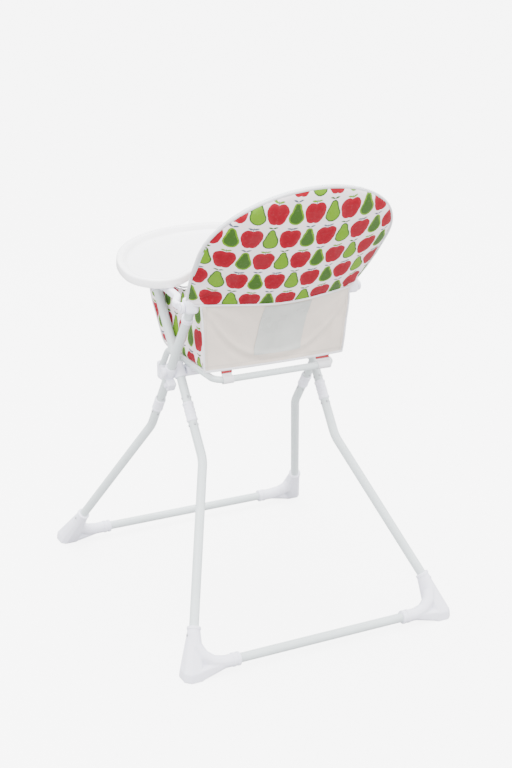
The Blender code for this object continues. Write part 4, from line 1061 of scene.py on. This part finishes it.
def cover_outline_path(inset, steps=40):
    """The cover's edge from its left foot over the crown to its right foot."""
    left = [Vector((x - inset, 0.0, z)) for x, z in COVER_FOOT]
    for i in range(steps + 1):
        angle = math.pi / 2.0 * i / steps
        left.append(Vector(((COVER_HALF_W - inset) * math.cos(angle), 0.0,
                            COVER_STRAIGHT + (COVER_CROWN - inset) * math.sin(angle))))
    return left + [Vector((-p.x, 0.0, p.z)) for p in reversed(left[:-1])]


def make_cover_binding():
    """Taped edge round the cover, and the hem along its lower rear edge."""
    edge = [HOOP_PLACE @ (p + Vector((0.0, 0.0035, 0.0))) for p in cover_outline_path(0.0010)]
    tube("cover_binding", edge, BINDING_R, BINDING, "front_frame", (), 16)
    hem = []
    for i in range(61):
        x = cover_half_width(0.004) * 0.985 * (2.0 * i / 60 - 1.0)
        point = cover_point(x, hem_height(x) + 0.001, True)
        hem.append(HOOP_PLACE @ (point + Vector((0.0, 0.0016, 0.0))))
    tube("cover_hem", hem, 0.0024, BINDING, "front_frame", (), 12)


# ---- seat ------------------------------------------------------------------
PANEL_TOP_HALF = 0.1900
PANEL_LOW_HALF = 0.1790
PANEL_Y = 0.1625
PANEL_LOW_Z = 0.6240
WINDOW_X = (-0.072, 0.048)
WINDOW_UP = (0.17, 0.93)      # shares of the panel's height
WINDOW_LEAN = 0.012
TAB_SHIFT = 0.018             # tapes sit this much nearer the tube's corners than in the CAD


def rear_panel_point(across, up):
    """A point of the rear lining; across runs -1..1 and up runs 0..1."""
    half = PANEL_LOW_HALF + (PANEL_TOP_HALF - PANEL_LOW_HALF) * up
    x = across * half
    hem = HOOP_PLACE @ cover_point(x, hem_height(x) + 0.005, True)
    top = Vector((x, hem.y - 0.0035, hem.z))
    low = Vector((x, PANEL_Y + 0.0075 * (1.0 - across ** 2), PANEL_LOW_Z))
    point = low.lerp(top, up)
    slack = math.sin(math.pi * up)
    point.y -= 0.010 * slack * (1.0 - across ** 4)
    return point


def crease(distance, width, depth):
    """Height of a soft fold at a distance from its line."""
    return depth * math.exp(-(distance / width) ** 2)


# The lining's small upright creases: where each crosses the middle, lean, width and depth.
PANEL_CREASES = ((0.128, 0.050, 0.009, 0.0020), (-0.118, -0.050, 0.010, 0.0022),
                 (-0.152, -0.025, 0.008, 0.0026), (0.092, 0.080, 0.012, 0.0014))


def rear_panel_relief(x, up):
    """Drape of the lining: the sagging edge of its pocket, drags from its corners and small creases."""
    curve = 0.155 + 0.80 * (abs(x) / 0.185) ** 2.6
    relief = crease(up - curve, 0.050, 0.0042) - crease(up - curve + 0.11, 0.060, 0.0030)
    for corner, reach in ((1.0, 0.150), (-1.0, 0.120)):
        dx = (PANEL_TOP_HALF - corner * x) / 0.19
        away = math.hypot(dx, 1.0 - up)
        turn = math.atan2(1.0 - up, max(dx, 1e-4))
        fan = 0.5 + 0.5 * math.sin(turn * 11.0 + corner)
        relief += reach / 0.150 * 0.0034 * fan * math.exp(-(away / 0.75) ** 2) * min(away * 4.0, 1.0)
    slack = math.sin(math.pi * min(max(up, 0.0), 1.0))
    for place, lean, width, depth in PANEL_CREASES:
        relief += crease(x - place - lean * (up - 0.5), width, depth) * slack
    relief += 0.0016 * noise.noise(Vector((x * 17.0, up * 3.0, 0.7)))
    relief += 0.0008 * noise.noise(Vector((x * 60.0, up * 9.0, 5.2)))
    edge = min(up, 1.0 - up) / 0.07
    return relief * min(max(edge, 0.0), 1.0)


def rear_panel_surface(across, up, proud=0.0):
    point = rear_panel_point(across, up)
    point.y += rear_panel_relief(point.x, up) + proud
    return point


def cloth_grid(bm, surface, columns, rows, thickness):
    """A thin closed sheet whose rear face is the given surface."""
    layers = [[[bm.verts.new(surface(i / columns, j / rows) - Vector((0.0, back, 0.0)))
                for i in range(columns + 1)] for j in range(rows + 1)]
              for back in (0.0, thickness)]
    for layer in layers:
        bridge(bm, layer, closed=False)
    join_borders(bm, *layers)


def blend_to_hoop(obj):
    """Bakes the placement of cloth that hangs from the cover's hem and is held by the seat tube into its
    mesh.
    """
    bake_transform(obj)


def make_rear_panel():
    bm = bmesh.new()
    cloth_grid(bm, lambda u, v: rear_panel_surface(2.0 * u - 1.0, v), 120, 60, 0.0012)
    panel = add_piece("rear_lining", bm, LINING, None, ("back_panel",), 60.0)
    blend_to_hoop(panel)
    edges = [("rear_piping_" + label, 0.0026,
              [rear_panel_surface(side, v / 30.0, 0.0005) for v in range(31)])
             for label, side in SIDES]
    edges.append(("rear_low_hem", 0.0030,
                  [rear_panel_surface(2.0 * u / 80.0 - 1.0, 0.006, 0.0006) for u in range(81)]))
    for name, radius, path in edges:
        blend_to_hoop(tube(name, path, radius, BINDING, sides=12))
    make_window()
    make_seams()


def make_window():
    """Blank vinyl pocket sewn to the middle of the lining."""
    def surface(u, v):
        up = WINDOW_UP[0] + (WINDOW_UP[1] - WINDOW_UP[0]) * v
        x = WINDOW_X[0] + WINDOW_LEAN * (1.0 - v) + (WINDOW_X[1] - WINDOW_X[0]) * u
        half = PANEL_LOW_HALF + (PANEL_TOP_HALF - PANEL_LOW_HALF) * up
        return rear_panel_surface(x / half, up, 0.0013)
    bm = bmesh.new()
    cloth_grid(bm, surface, 40, 36, 0.0007)
    blend_to_hoop(add_piece("blank_pocket", bm, WINDOW, smooth_angle=60.0))


STITCH_R = 0.00035
STITCH_SHARE = 0.62           # how much of the seam's pitch a stitch takes


def stitch_row(bm, surface_at, count):
    """A row of short raised stitches; surface_at(0..1) gives points along the seam."""
    for i in range(count):
        start = (i + 0.5 - STITCH_SHARE / 2.0) / count
        end = (i + 0.5 + STITCH_SHARE / 2.0) / count
        raised = surface_at((start + end) / 2.0) + Vector((0.0, 0.0003, 0.0))
        sweep(bm, [surface_at(start), raised, surface_at(end)], circle(STITCH_R, 6),
              Z_AXIS + X_AXIS * 0.1)


def make_seams():
    bm = bmesh.new()
    for _, side in SIDES:
        stitch_row(bm, lambda t, s=side: rear_panel_surface(s * 0.955, t, 0.0003), 48)
    for up in (0.075, 0.965):
        stitch_row(bm, lambda t, v=up: rear_panel_surface(2.0 * t - 1.0, v, 0.0003), 110)
    blend_to_hoop(add_piece("rear_stitching", bm, THREAD))


def make_tabs():
    """Tape loops that hold the lining to the seat tube, each with a red woven end."""
    for label, side in SIDES:
        low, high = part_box("retaining_tab_" + label)
        middle = (low + high) / 2.0
        shift = side * TAB_SHIFT
        x0, x1 = low.x + shift, high.x + shift - side * 0.004
        radius = SEAT_TUBE_R + 0.0011
        loop = [Vector((0.0, PANEL_Y + 0.0030, PANEL_LOW_Z + 0.006))]
        for i in range(25):
            angle = math.radians(115.0 - 330.0 * i / 24)
            loop.append(Vector((0.0, middle.y + radius * math.cos(angle),
                                middle.z + radius * math.sin(angle))))
        bm = bmesh.new()
        rings = []
        centre = Vector((0.0, middle.y, middle.z))
        for p in loop:
            out = (p - centre).normalized() * 0.0008
            rings.append([bm.verts.new(Vector((x, p.y, p.z)) + out * sign)
                          for x, sign in ((x0, -1.0), (x1, -1.0), (x1, 1.0), (x0, 1.0))])
        bridge(bm, rings)
        cap(bm, rings)
        add_piece("tab_tape_" + label, bm, BINDING, "seat", ("retaining_tab_" + label,))
        bm = bmesh.new()
        path = [Vector(((x0 + x1) / 2.0, p.y, p.z))
                for p in (loop[0].lerp(loop[1], t) for t in (0.40, 0.55, 0.70))]
        half = abs(x1 - x0) / 2.0 + 0.0006
        section = [(-half, -0.0013), (half, -0.0013), (half, 0.0013), (-half, 0.0013)]
        sweep(bm, path, section, X_AXIS)
        add_piece("tab_end_" + label, bm, RED_TAPE, "seat")


def panel_outline(side_node):
    """Outline of a side panel, as (y, z) pairs, rounded from the CAD's corners."""
    low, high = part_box(side_node)
    corners = [(high.y, low.z), (high.y, 0.763), (0.120, 0.786), (0.080, 0.797), (0.045, 0.796),
               (0.010, 0.784), (-0.060, 0.775), (-0.150, 0.765), (low.y, 0.742), (-0.190, 0.705),
               (-0.150, 0.655), (-0.122, 0.618), (-0.098, low.z)]
    points = []
    count = len(corners)
    for i in range(count):
        before, here, after = (Vector(corners[k % count]) for k in (i - 1, i, i + 1))
        reach = 0.38 * min((here - before).length, (after - here).length)
        a = here + (before - here).normalized() * reach
        b = here + (after - here).normalized() * reach
        steps = 6
        for k in range(steps + 1):
            t = k / steps
            points.append(a * (1 - t) ** 2 + here * (2 * t * (1 - t)) + b * t ** 2)
    return points


PANEL_LEVELS = ((1.0, 0.0), (0.985, 0.0012), (0.93, 0.0022), (0.80, 0.0030), (0.55, 0.0036),
                (0.28, 0.0038))      # share of the outline, and how far it stands out
INNER_PUFF = 2.6                # the inner face is fuller by this much
PANEL_SET_IN = 0.0022


def make_side_panels():
    for label, side in SIDES:
        node = "side_panel_" + label
        low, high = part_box(node)
        outer = high.x if side > 0.0 else low.x
        edge_x = outer - side * PANEL_SET_IN
        outline = panel_outline(node)
        centre = sum(outline, Vector((0.0, 0.0))) / len(outline)
        bm = bmesh.new()
        for out in (1.0, -INNER_PUFF):
            rings = [[bm.verts.new((edge_x + side * out * puff, *(centre + (p - centre) * share)))
                      for p in outline] for share, puff in PANEL_LEVELS]
            bridge(bm, rings)
            bm.faces.new(rings[-1])
        bmesh.ops.remove_doubles(bm, verts=bm.verts, dist=1e-6)
        panel = add_piece("side_cloth_" + label, bm, PRINT)
        fill_with_air(panel, 0.0040, 3.0, 0.0028, lambda p: 0.0)
        soften_side(panel, outer, side)
        finish_cloth(panel, 3, lambda p: (p.y, p.z - 0.62), "seat", node)
        bm = bmesh.new()
        closed_tube(bm, [Vector((edge_x, *p)) for p in outline], 0.0024, 12, X_AXIS)
        add_piece("side_piping_" + label, bm, BINDING, "seat")


def soften_side(panel, outer, side):
    """Adds light drags, and keeps the panel's outer face clear of the frame."""
    limit = outer + side * PANEL_SET_IN
    for vertex in panel.data.vertices:
        wave = noise.noise(Vector((vertex.co.y * 18.0, vertex.co.z * 24.0, side * 2.3)))
        vertex.co.x += 0.0009 * wave
        if (vertex.co.x - limit) * side > 0.0:
            vertex.co.x = limit


def make_seat_cushion():
    """Padded seat with a crowned top and two channels sewn across it."""
    low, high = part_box("seat_pad")
    mid = (low + high) / 2.0
    half = (high - low - Vector((0.004, 0.004, 0.0))) / 2.0
    edge_z = low.z + 0.010
    columns, rows = 36, 34
    bm = bmesh.new()
    for top in (False, True):
        reach = high.z - edge_z - 0.002 if top else low.z + 0.0004 - edge_z
        grid = []
        for j in range(rows + 1):
            row = []
            for i in range(columns + 1):
                a = 2.0 * i / columns - 1.0
                b = 2.0 * j / rows - 1.0
                x = mid.x + a * half.x * (1.0 - 0.010 * (1.0 - b * b))
                y = mid.y + b * half.y * (1.0 - 0.010 * (1.0 - a * a))
                crown = math.sqrt(max(1.0 - a ** 10, 0.0)) * math.sqrt(max(1.0 - b ** 10, 0.0))
                row.append(bm.verts.new((x, y, edge_z + reach * crown)))
            grid.append(row)
        bridge(bm, grid, closed=False)
    bmesh.ops.remove_doubles(bm, verts=bm.verts, dist=1e-6)
    cushion = add_piece("seat_cushion", bm, PRINT)
    fill_with_air(cushion, 0.0045, 4.0, 0.005, lambda p: 1.0 if p.z < low.z + 0.004 else 0.0)
    for vertex in cushion.data.vertices:
        if vertex.co.z > low.z + 0.012:
            groove = sum(crease(vertex.co.y - y, 0.0040, 1.0) for y in (-0.050, 0.050))
            vertex.co.z -= 0.0035 * min(groove, 1.0)
        vertex.co.z = max(vertex.co.z, low.z)
    finish_cloth(cushion, 2, lambda p: (p.x, p.y), "seat", "seat_pad")


STRAP_HALF = 0.0112
STRAP_UPPER = ((STRAP_HALF, 0.0006), (STRAP_HALF - 0.0015, 0.0009))


def strap(name, path, node):
    """Flat webbing with rounded, slightly thinner selvedges."""
    back = STRAP_UPPER[::-1]
    section = ([(-a, -b) for a, b in STRAP_UPPER] + [(a, -b) for a, b in back]
               + list(STRAP_UPPER) + [(-a, b) for a, b in back])
    bm = bmesh.new()
    hint = Y_AXIS if abs((path[-1] - path[0]).x) > 0.02 else X_AXIS
    sweep(bm, path, section, hint)
    add_piece(name, bm, WEBBING, "seat", (node,))


def make_harness():
    low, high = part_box("crotch_strap")
    z = (low.z + high.z) / 2.0 + 0.0018
    steps = 12
    path = [Vector((0.0, low.y + (high.y - low.y) * i / steps,
                    z + 0.002 * math.sin(math.pi * i / steps))) for i in range(steps + 1)]
    strap("crotch_webbing", path, "crotch_strap")
    buckle_low, buckle_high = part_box("buckle")
    middle = (buckle_low.y + buckle_high.y) / 2.0
    for label, side in SIDES:
        corners = [(side * 0.0250, middle, z), (side * 0.065, middle, z + 0.001),
                   (side * 0.110, 0.020, z), (side * 0.132, 0.115, z + 0.001)]
        strap("lap_webbing_" + label, rounded_path(corners, (0.045, 0.060)), "lap_strap_" + label)
    moulded_copy("buckle", 0.0007, 3, "seat")
    bevelled_copy("buckle_button", 0.0004, BUTTON, "buckle_button")


# ---- tray ------------------------------------------------------------------
TRAY_HALF_W = 0.286
TRAY_MID = -0.191
TRAY_FRONT_LEN = 0.296
TRAY_SQUARENESS = 0.98
TRAY_TIP_X = 0.214
TRAY_TIP = -0.106
TRAY_BELLY_DEPTH = 0.100
TRAY_PROFILE = ((0.0022, 0.0096), (0.0004, 0.0096), (0.0000, 0.0104), (0.0002, 0.0180), (0.0006, 0.0250),
                (0.0014, 0.0276), (0.0030, 0.0292), (0.0052, 0.0300), (0.0090, 0.0300), (0.0130, 0.0297),
                (0.0158, 0.0288), (0.0176, 0.0268), (0.0196, 0.0236), (0.0216, 0.0200), (0.0240, 0.0172),
                (0.0270, 0.0156), (0.0310, 0.0150))


def tray_outline(steps=72):
    """Closed plan of the tray: a rounded front and a rear edge hollowed for the child."""
    points = []
    for i in range(steps + 1):
        angle = math.pi * i / steps
        c, s = math.cos(angle), math.sin(angle)
        points.append(Vector((TRAY_HALF_W * math.copysign(abs(c) ** TRAY_SQUARENESS, c),
                              TRAY_MID - TRAY_FRONT_LEN * max(s, 0.0) ** TRAY_SQUARENESS)))
    rear = []
    tip_steps, belly_steps = 16, 30
    for i in range(1, tip_steps + 1):
        angle = math.pi / 2.0 * i / tip_steps
        rear.append(Vector((TRAY_TIP_X + (TRAY_HALF_W - TRAY_TIP_X) * math.cos(angle),
                            TRAY_MID + (TRAY_TIP - TRAY_MID) * math.sin(angle))))
    for i in range(1, belly_steps):
        x = TRAY_TIP_X * (1.0 - i / belly_steps)
        wave = (0.5 - 0.5 * math.cos(math.pi * x / TRAY_TIP_X)) ** 1.6
        rear.append(Vector((x, TRAY_TIP - TRAY_BELLY_DEPTH * (1.0 - wave))))
    left = [Vector((-p.x, p.y)) for p in rear]
    return points + left + [Vector((0.0, TRAY_TIP - TRAY_BELLY_DEPTH))] + rear[::-1]


def inset(points, distance):
    moved = []
    count = len(points)
    for i in range(count):
        along = (points[(i + 1) % count] - points[i - 1]).normalized()
        moved.append(points[i] + Vector((along.y, -along.x)) * distance)
    return moved


TRAY_WALL = 0.0024


def make_tray():
    """One moulded shell: skirt, rolled rim, sloping bowl wall and a flat floor."""
    outline = tray_outline()
    inner = [(depth + TRAY_WALL, up - TRAY_WALL * (0.0 if up < 0.026 else 1.0))
             for depth, up in TRAY_PROFILE[1:9]]
    inner += [(depth + TRAY_WALL * 0.7, up - TRAY_WALL) for depth, up in TRAY_PROFILE[9:14]]
    inner += [(depth, up - TRAY_WALL) for depth, up in TRAY_PROFILE[14:]]
    bm = bmesh.new()
    shells = [[[bm.verts.new(ARM_PLACE @ Vector((*p, up))) for p in inset(outline, depth)]
               for depth, up in profile] for profile in (TRAY_PROFILE, inner)]
    for rings in shells:
        bridge(bm, rings)
    bridge(bm, [rings[0] for rings in shells])
    for rings in shells:
        floor = bm.faces.new(rings[-1])
        bmesh.ops.triangulate(bm, faces=[floor], quad_method='BEAUTY', ngon_method='BEAUTY')
    add_piece("tray_shell", bm, TRAY_GLOSS, "tray_body", ("tray",), 50.0)


# ---- stage -----------------------------------------------------------------
PAPER_GLOW = 5.9
SKY_STRENGTH = 3.9
SKY_GLOW = 4.5                # extra brightness of the sky where it is seen directly
FLOOR_HALF = 80.0


def make_stage():
    """A wide floor of seamless paper."""
    bm = bmesh.new()
    corners = ((-FLOOR_HALF, -FLOOR_HALF), (FLOOR_HALF, -FLOOR_HALF), (FLOOR_HALF, FLOOR_HALF),
               (-FLOOR_HALF, FLOOR_HALF))
    bm.faces.new([bm.verts.new((x, y, 0.0)) for x, y in corners])
    n = Nodes("studio_paper")
    speck = n.noise(n.place(), 3.0, 2.0)
    tone = n.mix(n.span(speck, 0.3, 0.7), (0.360, 0.360, 0.362), (0.370, 0.370, 0.372))
    seen = n.node("ShaderNodeLightPath").outputs["Is Camera Ray"]
    n.plug(n.shader.inputs["Emission Color"], (1.0, 1.0, 1.0))
    n.plug(n.shader.inputs["Emission Strength"], n.times(seen, PAPER_GLOW))
    paper = n.finish(tone, 0.9, Specular_IOR_Level=0.0)
    floor = add_piece("studio_floor", bm, paper)
    floor.location.z = -0.0004


def link(obj):
    bpy.context.scene.collection.objects.link(obj)


def area_light(name, where, target, size, power):
    data = bpy.data.lights.new(name, 'AREA')
    data.shape = 'DISK'
    data.size = size
    data.energy = power
    lamp = bpy.data.objects.new(name, data)
    link(lamp)
    lamp.location = where
    lamp.rotation_euler = (Vector(target) - Vector(where)).to_track_quat('-Z', 'Y').to_euler()


def make_light():
    world = bpy.data.worlds.new("studio")
    bpy.context.scene.world = world
    world.use_nodes = True
    sky = world.node_tree.nodes["Background"]
    sky.inputs["Color"].default_value = (1.0, 1.0, 1.0, 1.0)
    nodes = world.node_tree.nodes
    seen = nodes.new("ShaderNodeLightPath")
    level = nodes.new("ShaderNodeMath")
    level.operation = 'MULTIPLY_ADD'
    level.inputs[1].default_value = SKY_GLOW
    level.inputs[2].default_value = SKY_STRENGTH
    world.node_tree.links.new(seen.outputs["Is Camera Ray"], level.inputs[0])
    world.node_tree.links.new(level.outputs[0], sky.inputs["Strength"])
    target = (0.0, 0.0, 0.55)
    area_light("key", (2.2, 1.6, 3.4), target, 2.4, 120.0)
    area_light("fill", (-2.6, 2.2, 2.2), target, 2.6, 50.0)
    area_light("top", (0.0, -0.6, 3.6), target, 3.0, 230.0)


def make_camera():
    data = bpy.data.cameras.new("camera")
    data.lens = 66.94
    data.sensor_width = 36.0
    data.clip_start = 0.05
    data.clip_end = 300.0
    camera = bpy.data.objects.new("camera", data)
    bpy.context.scene.collection.objects.link(camera)
    camera.location = (1.437, 2.975, 1.666)
    camera.rotation_euler = (math.radians(90.0 - 19.16), 0.0, math.radians(153.71))
    bpy.context.scene.camera = camera


def build():
    make_frame_tubes()
    make_sleeves()
    make_feet()
    make_seat_tube()
    make_hub()
    make_knuckles()
    make_small_mouldings()
    make_footrest()
    make_back_cover()
    make_rear_panel()
    make_tabs()
    make_side_panels()
    make_seat_cushion()
    make_harness()
    make_tray()
    repaint("backrest_hoop", POWDER)
    make_stage()
    make_light()
    make_camera()


build()
